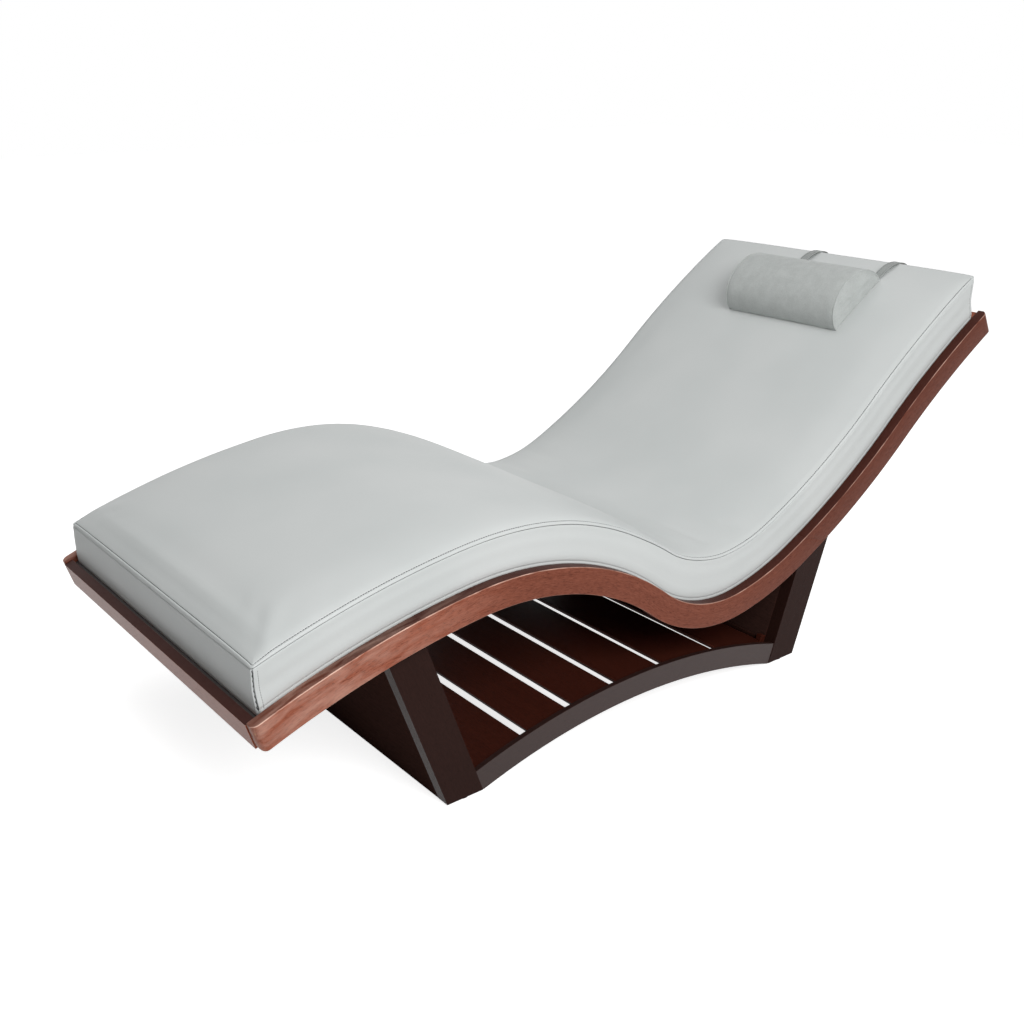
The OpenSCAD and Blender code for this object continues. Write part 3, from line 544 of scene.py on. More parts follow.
def metal(name, light, dark, roughness, mottle):
    """A plated or rolled metal part: clean, with a faint mottle in its gloss."""
    made, tree, shader, place = patterned_material(name)
    spots = add(tree, "ShaderNodeTexNoise", {"Vector": place, "Scale": per_mm(mottle), "Detail": 3})
    colour = add(tree, "ShaderNodeMix", {0: spots.outputs["Fac"], 6: linear(dark), 7: linear(light)},
                 data_type="RGBA")
    gloss = add(tree, "ShaderNodeMapRange", {"Value": spots.outputs["Fac"], "To Min": roughness,
                                             "To Max": roughness + 0.12})
    plug(tree, shader, {"Base Color": colour.outputs[2], "Roughness": gloss.outputs[0], "Metallic": 1})
    return made


def moulded_nylon():
    """Moulded nylon glide: matt dark grey, scuffed where it meets the floor."""
    made, tree, shader, place = patterned_material("moulded nylon")
    scuffs = add(tree, "ShaderNodeTexNoise", {"Vector": place, "Scale": per_mm(4), "Detail": 4})
    colour = add(tree, "ShaderNodeMix", {0: scuffs.outputs["Fac"], 6: linear("#2b2b2c"),
                                         7: linear("#4a4a4b")}, data_type="RGBA")
    plug(tree, shader, {"Base Color": colour.outputs[2], "Roughness": 0.55, "IOR": 1.53})
    return made


def hook_strip():
    """Woven hook-and-loop strip: black nylon with rows of tiny stiff hooks."""
    made, tree, shader, place = patterned_material("black hook strip")
    hooks = add(tree, "ShaderNodeTexVoronoi", {"Vector": place, "Scale": per_mm(1.8)})
    colour = add(tree, "ShaderNodeMix", {0: hooks.outputs["Distance"], 6: linear("#141414"),
                                         7: linear("#343434")}, data_type="RGBA")
    bump = add(tree, "ShaderNodeBump", {"Height": hooks.outputs["Distance"], "Distance": 0.001}, invert=True)
    plug(tree, shader, {"Base Color": colour.outputs[2], "Roughness": 0.85, "Normal": bump.outputs[0]})
    return made


# The mahogany's near-white colour for thinned edges is partly a painted highlight
MAHOGANY = stained_wood("lacquered mahogany", "#a8634d", "#7f422f", "#30110c", "#e8c0ae", 0.38, 0.08)
ESPRESSO = stained_wood("espresso stained hardwood", "#2f1c18", "#271612", "#180d0a", "#59322a", 0.36, 0.04)
PANEL_WOOD = stained_wood("matt espresso panels", "#432d28", "#35231f", "#1d1210", "#59322a", 0.5, 0)
ARCH_WOOD = stained_wood("espresso shelf rails", "#35221e", "#2c1b18", "#1b100e", "#59322a", 0.34, 0.3)
SLAT_WOOD = stained_wood("dark mahogany slats", "#4a2218", "#381710", "#170a08", "#6b3226", 0.38, 0.1)
LEATHERETTE = leatherette()
SUEDE = brushed_suede("grey brushed suede", "#b3b7b5", "#c2c6c4")
STRAP_SUEDE = brushed_suede("grey strap suede", "#949896", "#a9adab")
# This thread's colour also paints the shadow in the cushion's seam grooves
THREAD_AND_SHADOW = spun_thread("dark grey thread and painted shadow", "#2c2e30")
PLYWOOD = plywood("birch plywood", "#8d6a43", "#c29d70")
FILM_PLY = plywood("film-faced plywood", "#17110e", "#231a16")
BEECH = turned_beech()
ZINC = metal("bright zinc plate", "#c9ccce", "#9a9da0", 0.32, 3)
BRASS = metal("turned brass", "#c9a45c", "#a8823e", 0.3, 2)
BAR_STEEL = metal("bright drawn steel", "#b4b6b8", "#8d9092", 0.35, 6)
NYLON = moulded_nylon()
HOOK_STRIP = hook_strip()


# CAD nodes that stay as they are get their finishes

PLAIN = {
    "deck_panel": FILM_PLY, "deck_cleat_left": PLYWOOD, "deck_cleat_right": PLYWOOD,
    "front_beam": PLYWOOD, "rear_beam": PLYWOOD, "crossbar_dowels": BEECH, "arch_dowels": BEECH,
    "deck_screws": ZINC, "leg_bolts": ZINC, "leg_inserts": BRASS, "weight_bar": BAR_STEEL,
    "floor_glides": NYLON, "grip_strips": HOOK_STRIP,
}
for name, material in PLAIN.items():
    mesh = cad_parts[name].data
    mesh.materials.clear()
    mesh.materials.append(material)


# Wooden pieces with eased edges


def eased(node, material, along, ease, board):
    """A copy of a CAD node with its sharp edges eased, its grain running along a direction."""
    b = bmesh.new()
    b.from_mesh(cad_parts[node].data)
    bmesh.ops.remove_doubles(b, verts=b.verts, dist=0.02 * MM)
    bmesh.ops.dissolve_limit(b, angle_limit=math.radians(0.3), verts=b.verts, edges=b.edges)
    sharp = [e for e in b.edges if len(e.link_faces) == 2 and e.calc_face_angle() > math.radians(28)]
    worn_and_highlit = bmesh.ops.bevel(b, geom=sharp, offset=ease * MM, segments=2, profile=0.5, affect="EDGES",
                           clamp_overlap=True)
    b.verts.index_update()
    b.faces.index_update()
    touching = [[face.index for face in v.link_faces] for v in b.verts]
    rounded = set(worn_and_highlit["faces"])
    rubbed_and_highlit = {v.index for face in rounded for v in face.verts if rounded.issuperset(v.link_faces)}
    for face in b.faces:
        face.smooth = True
    for e in b.edges:
        e.smooth = not (len(e.link_faces) == 2 and e.calc_face_angle() > math.radians(50))
    mesh = bpy.data.meshes.new(node + "_eased")
    b.to_mesh(mesh)
    b.free()
    mesh.materials.append(material)
    made = put(node + "_eased", mesh)
    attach(made, "frame")
    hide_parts(node)
    run = Vector(along).normalized()
    side = run.cross(Vector((0, 0, 1)) if abs(run.z) < 0.9 else Vector((0, 1, 0))).normalized()
    turned = np.array([run, side, run.cross(side)]).T
    places = np.array([v.co for v in mesh.vertices]) / MM
    give(made, "grain", "FLOAT_VECTOR", places @ turned + np.array(BOARD_SHIFT) * board)
    # The middle of each eased edge takes the pale edge colour, on mahogany partly a painted highlight
    give(made, "wear_and_highlight", "FLOAT", [float(i in rubbed_and_highlit) for i in range(len(mesh.vertices))])
    if node == "foot_crossbar":
        # Its outer face gets a painted reflection, a pale wash, most at the left; its top gets painted shade
        biggest = [max((mesh.polygons[f] for f in faces), key=lambda f: f.area).normal for faces in touching]
        give(made, "painted_reflection", "FLOAT", [(0.6 if v.co.y > 0 else 0.25) * smooth(-n.x * 3 - 1.5)
                                       for v, n in zip(mesh.vertices, biggest)])
        give(made, "deep", "FLOAT", [0.95 * smooth(n.z * 3 - 1.5) for n in biggest])
    weigh = made.modifiers.new("faces first", "WEIGHTED_NORMAL")
    weigh.keep_sharp = True
    return made


# The pedestal's boards: their finish, the way their grain runs, and their names
ACROSS = (0, 1, 0)
LEAN = math.tan(math.radians(LEG_LEAN))
PEDESTAL = [
    (ESPRESSO, (-LEAN, 0, 1), ["front_leg_left", "front_leg_right"]),
    (ESPRESSO, (LEAN, 0, 1), ["rear_leg_left", "rear_leg_right"]),
    (PANEL_WOOD, ACROSS, ["front_outer_panel", "front_inner_panel", "rear_outer_panel", "rear_inner_panel"]),
    (ARCH_WOOD, (1, 0, 0), ["arch_rail_left", "arch_rail_right"]),
    (ESPRESSO, ACROSS, ["shelf_battens"]),
]
board = 0
for wood, along, names in PEDESTAL:
    for name in names:
        eased(name, wood, along, BOARD_EASE, board)
        board += 1
for i in range(1, 7):
    eased(f"shelf_slat_{i}", SLAT_WOOD, ACROSS, BOARD_EASE, 20 + i)
eased("corner_blocks", SLAT_WOOD, ACROSS, BLOCK_EASE, 30)
for i, name in enumerate(["foot_crossbar", "head_crossbar"]):
    eased(name, MAHOGANY, ACROSS, CROSSBAR_EASE, 40 + i)


def rail_section(back, toe, inset):
    """Outline of a wave rail, its corners eased: how far the outer face and the bottom
    stand back near an end, and how far all of it does. Each point says how much the stain
    has thinned there, which on the outer top corner is partly a painted highlight, and
    whether it lies on the top or the inner face, which get painted shade."""
    y0, y1 = RAIL_INNER + inset, RAIL_OUTER - max(back, inset)
    h0, h1 = -RAIL_DEPTH + max(toe, inset), -inset
    e = RAIL_EASE
    outline = []
    for cy, ch, start in ((y1 - e, h1 - e, 0), (y0 + e, h1 - e, 90), (y0 + e, h0 + e, 180),
                          (y1 - e, h0 + e, 270)):
        for k in range(5):
            a = math.radians(start + 90 * k / 4)
            # The outer top corner gets the most, partly a painted highlight; the top and the inner face are
            # marked for painted shade
            rubbed_and_highlit = (1.8 if start == 0 else 0.6) if 0 < k < 4 else 0
            in_painted_shade = 1 if start in (90, 180) or (start == 0 and k == 4) else 0
            outline.append((cy + e * math.cos(a), ch + e * math.sin(a), rubbed_and_highlit, in_painted_shade))
    return outline


def wave_rail(side, upper):
    """One of the four rail pieces, swept along the wave line, with its slanted scarf end."""
    name = f"rail_{'left' if side > 0 else 'right'}_{'upper' if upper else 'lower'}"
    start, stop = (SCARF_REACH, WAVE_LEN) if upper else (0, SCARF_REACH)
    ends = [0, 0.2, 0.7, RAIL_EASE, 3, 5, 8, 11, RAIL_END_R]
    middle = np.linspace(start + RAIL_END_ZONE, stop - RAIL_END_ZONE, int((stop - start) / RAIL_STEP))
    joint_ends = [0, 0.15, 0.5]
    first, last = (joint_ends, ends) if upper else (ends, joint_ends)
    reaches = [start + d for d in first] + list(middle) + [stop - d for d in reversed(last)]
    sections, grain, wear_and_highlight, deep = [], [], [], []
    for s in reaches:
        d = min(s, WAVE_LEN - s)
        at_joint = abs(s - SCARF_REACH)
        back, toe = cut_back(RAIL_END_R, d), cut_back(RAIL_TOE_R, d)
        inset = cut_back(RAIL_EASE, d) + cut_back(0.5, at_joint)
        slant = SCARF_RUN * smooth(1 - at_joint / SCARF_FADE)
        lean = END_SLANT * smooth(1 - s / END_SLANT_FADE)
        loop = []
        for y, h, worn_and_highlit, in_painted_shade in rail_section(back, toe, inset):
            reach = s - slant * h / RAIL_DEPTH + lean * (1 + h / RAIL_DEPTH)
            loop.append(wave_point(reach, h, side * y))
            grain.append((reach + RAIL_SHIFT * (2 + side), y, h + (UPPER_SHIFT if upper else 0)))
            # The stain is thinnest where legs swing over the rail, toward the foot end. Its pale line
            # along the outer top edge is partly a painted highlight, and the paling of every face near
            # the foot end is painted light.
            wear_and_highlight.append(max(worn_and_highlit * (0.35 + 0.65 * smooth(1 - (s - 300) / 500)),
                            0.36 * smooth(1 - (s - 120) / 450)))
            # Painted shade on the top and the inner face; the outer face darkens toward the head end
            outer = 0.38 * smooth((s - 300) / 300) + 0.22 * smooth((s - 1050) / 400)
            deep.append(max(outer, in_painted_shade * (0.55 + 0.35 * smooth((s - 60) / 200))))
        sections.append(loop if side < 0 else loop[::-1])
        if side > 0:
            n = len(loop)
            grain[-n:] = grain[-n:][::-1]
            wear_and_highlight[-n:] = wear_and_highlight[-n:][::-1]
    points, faces = sweep(sections)
    made = make_piece(name + "_bent", points, faces, MAHOGANY, "frame", "mahogany", name)
    give(made, "grain", "FLOAT_VECTOR", grain)
    give(made, "wear_and_highlight", "FLOAT", wear_and_highlight)
    give(made, "deep", "FLOAT", deep)
    for face in made.data.polygons[-2:]:
        face.use_smooth = False
    made.data.update()


for side in (-1, 1):
    for upper in (False, True):
        wave_rail(side, upper)


# Soft pieces


def puff(made, held, pressure, cap):
    """Lets the cover swell over its stuffing: cloth under pressure, held at its seams, no
    point moving further than the cap."""
    scene = bpy.context.scene
    made.vertex_groups.new(name="held").add(held, 1, "REPLACE")
    cloth = made.modifiers.new("Cloth", "CLOTH")
    cloth.settings.vertex_group_mass = "held"
    cloth.settings.use_pressure = True
    cloth.settings.uniform_pressure_force = pressure
    cloth.settings.effector_weights.gravity = 0
    cloth.settings.quality = 6
    cloth.settings.tension_stiffness = 25
    cloth.settings.compression_stiffness = 25
    cloth.settings.bending_stiffness = 2
    cloth.point_cache.frame_start, cloth.point_cache.frame_end = 1, 20
    for f in range(1, 21):
        scene.frame_set(f)
    swollen = made.evaluated_get(bpy.context.evaluated_depsgraph_get()).to_mesh()
    flat = np.empty(len(made.data.vertices) * 3)
    swollen.vertices.foreach_get("co", flat)
    rest = np.empty_like(flat)
    made.data.vertices.foreach_get("co", rest)
    move = (flat - rest).reshape(-1, 3)
    far = np.linalg.norm(move, axis=1, keepdims=True)
    limit = cap * MM
    move *= limit * np.tanh(far / limit) / np.maximum(far, 1e-9)
    made.evaluated_get(bpy.context.evaluated_depsgraph_get()).to_mesh_clear()
    made.modifiers.remove(cloth)
    made.vertex_groups.clear()
    made.data.vertices.foreach_set("co", rest + move.ravel())
    made.data.update()
    scene.frame_set(1)


def stitch_row(path, ups, pitch, length, radius):
    """Short threads end to end along a path, each sunk a little at both its ends."""
    shapes = []
    runs = [(Vector(b) - Vector(a)).length for a, b in zip(path, path[1:])]
    marks = np.concatenate([[0], np.cumsum(runs)])
    path, ups = np.array(path, float), np.array(ups, float)
    profile = [(-0.5, 0.35, -0.8), (-0.36, 0.9, 0), (0, 1, 0.25), (0.36, 0.9, 0), (0.5, 0.35, -0.8)]
    for k in range(int(marks[-1] / pitch)):
        centre = (k + 0.5) * pitch
        rings = []
        for along, width, lift in profile:
            at = centre + along * length
            p = Vector([np.interp(at, marks, path[:, c]) for c in range(3)])
            q = Vector([np.interp(at + 0.2, marks, path[:, c]) for c in range(3)])
            up = Vector([np.interp(at, marks, ups[:, c]) for c in range(3)]).normalized()
            run = (q - p).normalized()
            side = run.cross(up).normalized()
            p = p + up * lift * radius
            rings.append([p + radius * width * (math.cos(a) * side + math.sin(a) * up)
                          for a in (2 * math.pi * j / 6 for j in range(6))])
        shapes.append(sweep(rings))
    return joined(shapes)


# Profile of the cushion's border from underside to top. The boxing's part gives how far out
# of the side and how far below the top seam a point lies, the panel's part how far in from
# the seam and how far above the crown.
BOXING = [(0.2, -17), (0.3, -11), (0.4, -6.5), (0.3, -4.4), (-0.3, -3.4), (-2, -2.8), (-2, -2.4),
          (-0.5, -1.9), (0.2, -1.4), (0.3, -0.8)]
PANEL = [(0.3, 0.2), (1.2, 0.8), (2.4, 1), (3.5, 0.7), (4.2, 0), (4.8, -1.1), (5.3, -1.1), (5.9, 0),
         (6.6, 0.3)]
STITCH_INSET = 5.05
GROOVE_DROP = 2.6


def border_stations():
    """Stations round the cushion's plan, each a core place, an outward direction, and its
    distance along the border from the middle of the nearest corner."""
    r = CORNER_R
    s0, s1, y1 = FROM + r, TO - r, SEAM_HALF - r
    long_n, short_n = round((s1 - s0) / SQUARE), round(2 * y1 / SQUARE)
    sides = [((s0, -y1), (s1, -y1), (0, -1), long_n), ((s1, -y1), (s1, y1), (1, 0), short_n),
             ((s1, y1), (s0, y1), (0, 1), long_n), ((s0, y1), (s0, -y1), (-1, 0), short_n)]
    stations = []
    for a, b, out, n in sides:
        length = math.dist(a, b)
        for k in range(n + 1):
            u = k / n
            d = min(u, 1 - u) * length + r * math.pi / 4
            stations.append(((a[0] + (b[0] - a[0]) * u, a[1] + (b[1] - a[1]) * u), out, d))
        turn = math.atan2(out[1], out[0])
        for k in range(1, CORNER_STEPS):
            a1 = turn + math.pi / 2 * k / CORNER_STEPS
            d = abs(k / CORNER_STEPS - 0.5) * r * math.pi / 2
            stations.append((b, (math.cos(a1), math.sin(a1)), d))
    return stations, long_n, short_n


def corner_lip(d):
    """Relief of an upright corner seam: an open groove between two rolled edges."""
    return -2.6 * math.exp(-(d / 1.1) ** 2) + 0.8 * math.exp(-((d - 2.5) / 1) ** 2)


def cushion_points():
    """The border's points, loop by loop, its stations, and the loops that may swell."""
    stations, long_n, short_n = border_stations()
    r = CORNER_R
    loops = []

    def place(core, out, side_o, end_o, t_of):
        s = core[0] + out[0] * (r + end_o)
        y = core[1] + out[1] * (r + side_o)
        return in_bed(s, y, t_of(s, y))

    under = [(-12, 0), (-3, 0), (-0.9, 0.8), (0, 3), (0, CUSHION_SINK), (0, 12.4), (-1.2, 13.4), (0.2, 14.4)]
    for o, t in under:
        loop = []
        for core, out, d in stations:
            side = side_out(t, seam_t(core[0]))
            # The seam just above the rails runs only along the long sides
            swell = o * abs(out[1]) + corner_lip(d) if t > CUSHION_SINK else o
            loop.append(place(core, out, side + swell, swell, lambda s, y: t))
        loops.append(loop)
    mids = 7
    low, high = 17, 22
    for k in range(mids):
        loop = []
        for core, out, d in stations:
            top = seam_t(core[0])
            t = low + (top - low - high) * k / (mids - 1)
            lip = corner_lip(d)
            swell = 1.2 * math.sin(math.pi * (t - 14) / (top - 18))
            loop.append(place(core, out, side_out(t, top) + lip, lip + swell, lambda s, y: t))
        loops.append(loop)
    free_loops = range(len(under), len(loops))
    for o, dt in BOXING:
        loop = []
        for core, out, d in stations:
            top = seam_t(core[0])
            lip = corner_lip(d) * smooth((-dt - 3) / 3)
            side = side_out(top + dt, top)
            plain = o * (1 - 0.7 * max(out[0], 0))
            loop.append(place(core, out, side + plain + lip, plain + lip, lambda s, y: top + dt))
        loops.append(loop)
    for inset, dt in PANEL:
        loop = []
        for core, out, d in stations:
            relief = dt * (1 - 0.9 * max(out[0], 0))
            loop.append(place(core, out, -inset, -inset, lambda s, y: top_t(s, y) + relief))
        loops.append(loop)
    return loops, stations, long_n, short_n, free_loops


def make_cushion():
    """The cushion in its cover: boxing, top panel, topstitched seam and laced corners."""
    loops, stations, long_n, short_n, free_loops = cushion_points()
    n = len(stations)
    points = [p for loop in loops for p in loop]
    faces = [(i * n + j, i * n + (j + 1) % n, (i + 1) * n + (j + 1) % n, (i + 1) * n + j)
             for i in range(len(loops) - 1) for j in range(n)]
    corner = CORNER_STEPS - 1
    near = 0
    head = near + long_n + 1 + corner
    far = head + short_n + 1 + corner
    foot = far + long_n + 1 + corner
    # Underside: strips across the bed, and a face at each end
    for k in range(long_n):
        faces.append((near + k + 1, near + k, far + long_n - k, far + long_n - k - 1))
    faces.append(tuple(range(near + long_n, far + 1))[::-1])
    faces.append(tuple([near] + list(range(n - 1, far + long_n - 1, -1))))
    # Top panel: squares between the border's stations
    ring = (len(loops) - 1) * n
    inner = len(points)
    s0, s1, y1 = FROM + CORNER_R, TO - CORNER_R, SEAM_HALF - CORNER_R
    for k in range(1, long_n):
        s = s0 + (s1 - s0) * k / long_n
        for j in range(1, short_n):
            y = -y1 + 2 * y1 * j / short_n
            soft = noise.noise(Vector((s / 210, y / 170, 3.7))) * 0.9
            fade = smooth(min(k, long_n - k) / 4) * smooth(min(j, short_n - j) / 4)
            points.append(in_bed(s, y, top_t(s, y) + soft * fade))

    def cell(k, j):
        if 0 < k < long_n and 0 < j < short_n:
            return inner + (k - 1) * (short_n - 1) + j - 1
        if j == 0:
            return ring + near + k
        if k == long_n:
            return ring + head + j
        if j == short_n:
            return ring + far + long_n - k
        return ring + foot + short_n - j

    for k in range(long_n):
        for j in range(short_n):
            if k in (0, long_n - 1) and j in (0, short_n - 1):
                continue
            faces.append((cell(k, j), cell(k + 1, j), cell(k + 1, j + 1), cell(k, j + 1)))
    # Each corner of the panel fans out from its first inner point to the rounded border
    fans = [(cell(1, 1), list(range(foot + short_n - 1, n)) + [near, near + 1]),
            (cell(long_n - 1, 1), list(range(near + long_n - 1, head + 2))),
            (cell(long_n - 1, short_n - 1), list(range(head + short_n - 1, far + 2))),
            (cell(1, short_n - 1), list(range(far + long_n - 1, foot + 2)))]
    for centre, edge in fans:
        for a, b in zip(edge, edge[1:]):
            faces.append((centre, ring + a, ring + b))
    made = make_piece("cushion", points, faces, LEATHERETTE, None, "cushion_vinyl",
                      ["cushion_foam", "cushion_cover"])
    free = {i * n + j for i in free_loops for j in range(n) if stations[j][2] > CORNER_HELD}
    free |= set(range(inner, len(points)))
    puff(made, [i for i in range(len(points)) if i not in free], pressure=3, cap=2.5)
    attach(made, "frame")
    return stations


def make_cushion_stitches(stations):
    """Topstitching along the top seam, all but its head end, and the laced thread in the upright
    corners, with thin dark tubes of painted shadow along the groove under the seam and in
    each corner's groove."""
    path, ups = [], []
    after_head = max(i for i, (core, out, d) in enumerate(stations) if out[0] > 0.3) + 1
    sewn = [q for q in stations[after_head:] + stations[:after_head] if q[1][0] <= 0.3]
    for core, out, d in sewn:
        s = core[0] + out[0] * (CORNER_R - STITCH_INSET)
        y = core[1] + out[1] * (CORNER_R - STITCH_INSET)
        p = Vector(in_bed(s, y, top_t(s, y) - 0.7))
        path.append(p)
        ups.append(Vector(in_bed(s, y, top_t(s, y) + 5)) - p + Vector((0, out[1] * 3, 0)))
    # Painted shadow: a thin dark tube along the groove under the seam
    groove = []
    for core, out, d in sewn:
        top = seam_t(core[0])
        side = side_out(top - GROOVE_DROP, top)
        groove.append(in_bed(core[0] + out[0] * (CORNER_R - 1.5), core[1] + out[1] * (CORNER_R + side - 1.5),
                             top - GROOVE_DROP))
    points, faces = joined([stitch_row(path, ups, *TOP_STITCH), tube(groove, 0.6, 6)])
    made = make_piece("cushion_topstitching_and_shadow", points, faces, THREAD_AND_SHADOW, "frame", "cushion_vinyl")
    lacing_and_shadow = []
    for s_end, out_s in ((FROM, -1), (TO, 1)):
        for out_y in (-1, 1):
            core = (s_end - out_s * CORNER_R, out_y * (SEAM_HALF - CORNER_R))
            top = seam_t(core[0])
            low, high = 11, top - 6
            steps = int((high - low) / 4)
            path = []
            for k in range(steps + 1):
                t = low + (high - low) * k / steps
                a = math.radians(45 + 12 * (-1) ** k)
                deep = -0.5 + CORNER_R
                side = side_out(t, top)
                path.append(in_bed(core[0] + out_s * math.cos(a) * deep,
                                   core[1] + out_y * math.sin(a) * (deep + side), t))
            lacing_and_shadow.append(tube(path, 0.6, 6))
            # Painted shadow: a thin dark tube along the corner's groove; beside it, a row of stitches
            core_path, beside, outs = [], [], []
            for k in range(31):
                t = low + (high - low) * k / 30
                half, side = math.sqrt(0.5) * (CORNER_R - 1.6), side_out(t, top)
                core_path.append(in_bed(core[0] + out_s * half, core[1] + out_y * (half + side), t))
                beside.append(in_bed(core[0] - out_s * 4, core[1] + out_y * (CORNER_R + side + 0.1), t))
                outs.append((0, out_y, 0))
            lacing_and_shadow.append(tube(core_path, 0.7, 6))
            lacing_and_shadow.append(stitch_row(beside, outs, *CORNER_STITCH))
    points, faces = joined(lacing_and_shadow)
    make_piece("cushion_corner_lacing_and_shadow", points, faces, THREAD_AND_SHADOW, "frame", "cushion_vinyl")


cushion_border = make_cushion()
make_cushion_stitches(cushion_border)


# Head pillow

HEAD_X, HEAD_Z, HEAD_HEADING = STARTS[5]
HEAD_R = STRETCHES[5][0]
CENTRE_X = HEAD_X + HEAD_R * math.sin(math.radians(HEAD_HEADING))
CENTRE_Z = HEAD_Z - HEAD_R * math.cos(math.radians(HEAD_HEADING))
SURFACE_R = HEAD_R + CUSHION_T + BACK_FILL - CUSHION_SINK
PILLOW_S = WAVE_LEN - PILLOW_REACH - PILLOW_D / 2 * HEAD_R / SURFACE_R
PILLOW_HEADING = state_at(PILLOW_S)[2]


def on_back(u, y, v):
    """A place along the back from the pillow's middle, at a Y, and above the seam level."""
    a = math.radians(PILLOW_HEADING) - u / SURFACE_R
    r = SURFACE_R + v
    return (CENTRE_X - r * math.sin(a), y, CENTRE_Z + r * math.cos(a))


def lie(y):
    """Height of the cushion's crown under the pillow, over the seam level."""
    return BACK_CROWN * crown_profile(y) + PILLOW_GAP


# Shares of the pillow's half depth at which its flat underside has points
UNDERSIDE = (0, 0.2, 0.4, 0.6, 0.8, 0.93, 0.985)


def pillow_outline(share):
    """The half-round section as places along the back and heights, from the middle of the
    underside round over the front, the top and the back."""
    half, high = PILLOW_D / 2 * share, PILLOW_H * share
    flat = [(-half * k, 0) for k in UNDERSIDE]
    dome = []
    for i in range(1, 40):
        t = math.pi * i / 40
        dome.append((-half * math.cos(t) - PILLOW_SKEW * math.sin(t), high * (0.94 * math.sin(t) + 0.06)))
    back = [(half * k, 0) for k in UNDERSIDE[:0:-1]]
    return flat + dome + back


def make_pillow():
    """The half-round pillow in its suede cover, piped at both ends."""
    half, centre = PILLOW_W / 2, PILLOW_H * 0.4
    edge = [(-1, 0.97), (-0.985, 0.99), (-0.96, 1)]
    rows = edge + [(y, 1) for y in np.linspace(-0.92, 0.92, 39)] + [(-y, share) for y, share in edge[::-1]]
    sections = []
    # End panels close in rings toward their middles, bulging a little
    caps = [(0.06, 4), (0.3, 3.8), (0.52, 3.2), (0.72, 2.4), (0.88, 1.3), (0.96, 0.4)]

    def section(y, share, centre_share=1):
        at = PILLOW_SHIFT + y
        ring = []
        for u, v in pillow_outline(share):
            u, v = u * centre_share, centre + (v - centre) * centre_share
            ring.append(on_back(u, at, lie(min(max(at, -half + PILLOW_SHIFT), half + PILLOW_SHIFT)) + v))
        return ring

    for share, bulge in caps:
        sections.append(section(-half - bulge + 3, 0.97, share))
    for y, share in rows:
        sections.append(section(y * (half - 1), share))
    for share, bulge in reversed(caps):
        sections.append(section(half + bulge - 3, 0.97, share))
    points, faces = sweep(sections)
    made = make_piece("pillow", points, faces, SUEDE, None, "pillow_suede", ["pillow_foam", "pillow_cover"])
    n = len(sections[0])
    first, last = len(caps), len(caps) + len(rows) - 1
    held = []
    for i in range(len(sections)):
        for j in range(n):
            under = min(j, n - j) < len(UNDERSIDE)
            if under or i in (first, first + 1, last, last - 1):
                held.append(i * n + j)
    puff(made, held, pressure=2, cap=3)
    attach(made, "pillow")
    pipes = []
    for end in (-1, 1):
        loop = []
        for u, v in pillow_outline(0.985):
            at = PILLOW_SHIFT + end * (half - 1.2)
            loop.append(on_back(u, at, lie(at) + max(v, 0.8)))
        pipes.append(tube(loop, 1.5, 8, closed=True))
    points, faces = joined(pipes)
    make_piece("pillow_piping", points, faces, SUEDE, "pillow", "pillow_suede")


make_pillow()


# Straps and the weight


def middle(a, b):
    """The point halfway between two."""
    return ((a[0] + b[0]) / 2, (a[1] + b[1]) / 2)


def bent(a, b, c, t):
    """A point on the rounding of a corner b between a and c."""
    return tuple((1 - t) ** 2 * a[i] + 2 * t * (1 - t) * b[i] + t * t * c[i] for i in (0, 1))


BAR_X = (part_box("weight_bar")[0].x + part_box("weight_bar")[1].x) / 2 / MM
SLEEVE_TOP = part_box("weight_sleeve")[1].z / MM


def roof(y):
    """Height of the plain cushion's two slopes over the seam level at a Y."""
    eave = BACK_CROWN * crown_curve(EAVE_SHARE)
    return BACK_CROWN - (BACK_CROWN - eave) * abs(y) / (EAVE_SHARE * SEAM_HALF)


def strap_path():
    """Middle of a strap's thickness as X and Z, from the pillow to the weight, with the
    index of the point where it starts to fall behind the head end."""
    lift = roof(STRAP_YS[0]) + PILLOW_GAP + STRAP_T
    turn = in_bed(TO, 0, seam_t(TO))
    top = turn[2] + END_CROWN + STRAP_T + STRAP_SPRING
    a = on_back(PILLOW_D / 2 - 2, 0, lift)
    b = on_back(PILLOW_D / 2 + STRAP_W, 0, lift + 2 * STRAP_SPRING)
    corners = [(a[0], a[2]), (b[0], b[2]), (turn[0] - STRAP_W / 2, top),
               (BAR_X + STRAP_BOW, top - STRAP_FALL), (BAR_X, turn[2] - STRAP_W), (BAR_X, SLEEVE_TOP)]
    last, path, over = len(corners) - 1, [], 0
    for i in range(1, last):
        before = corners[0] if i == 1 else middle(corners[i - 1], corners[i])
        after = corners[last] if i == last - 1 else middle(corners[i], corners[i + 1])
        for k in range(0 if i == 1 else 1, STRAP_STEPS + 1):
            path.append(bent(before, corners[i], after, k / STRAP_STEPS))
        if i == 3:
            over = len(path) - 1
    return path, over


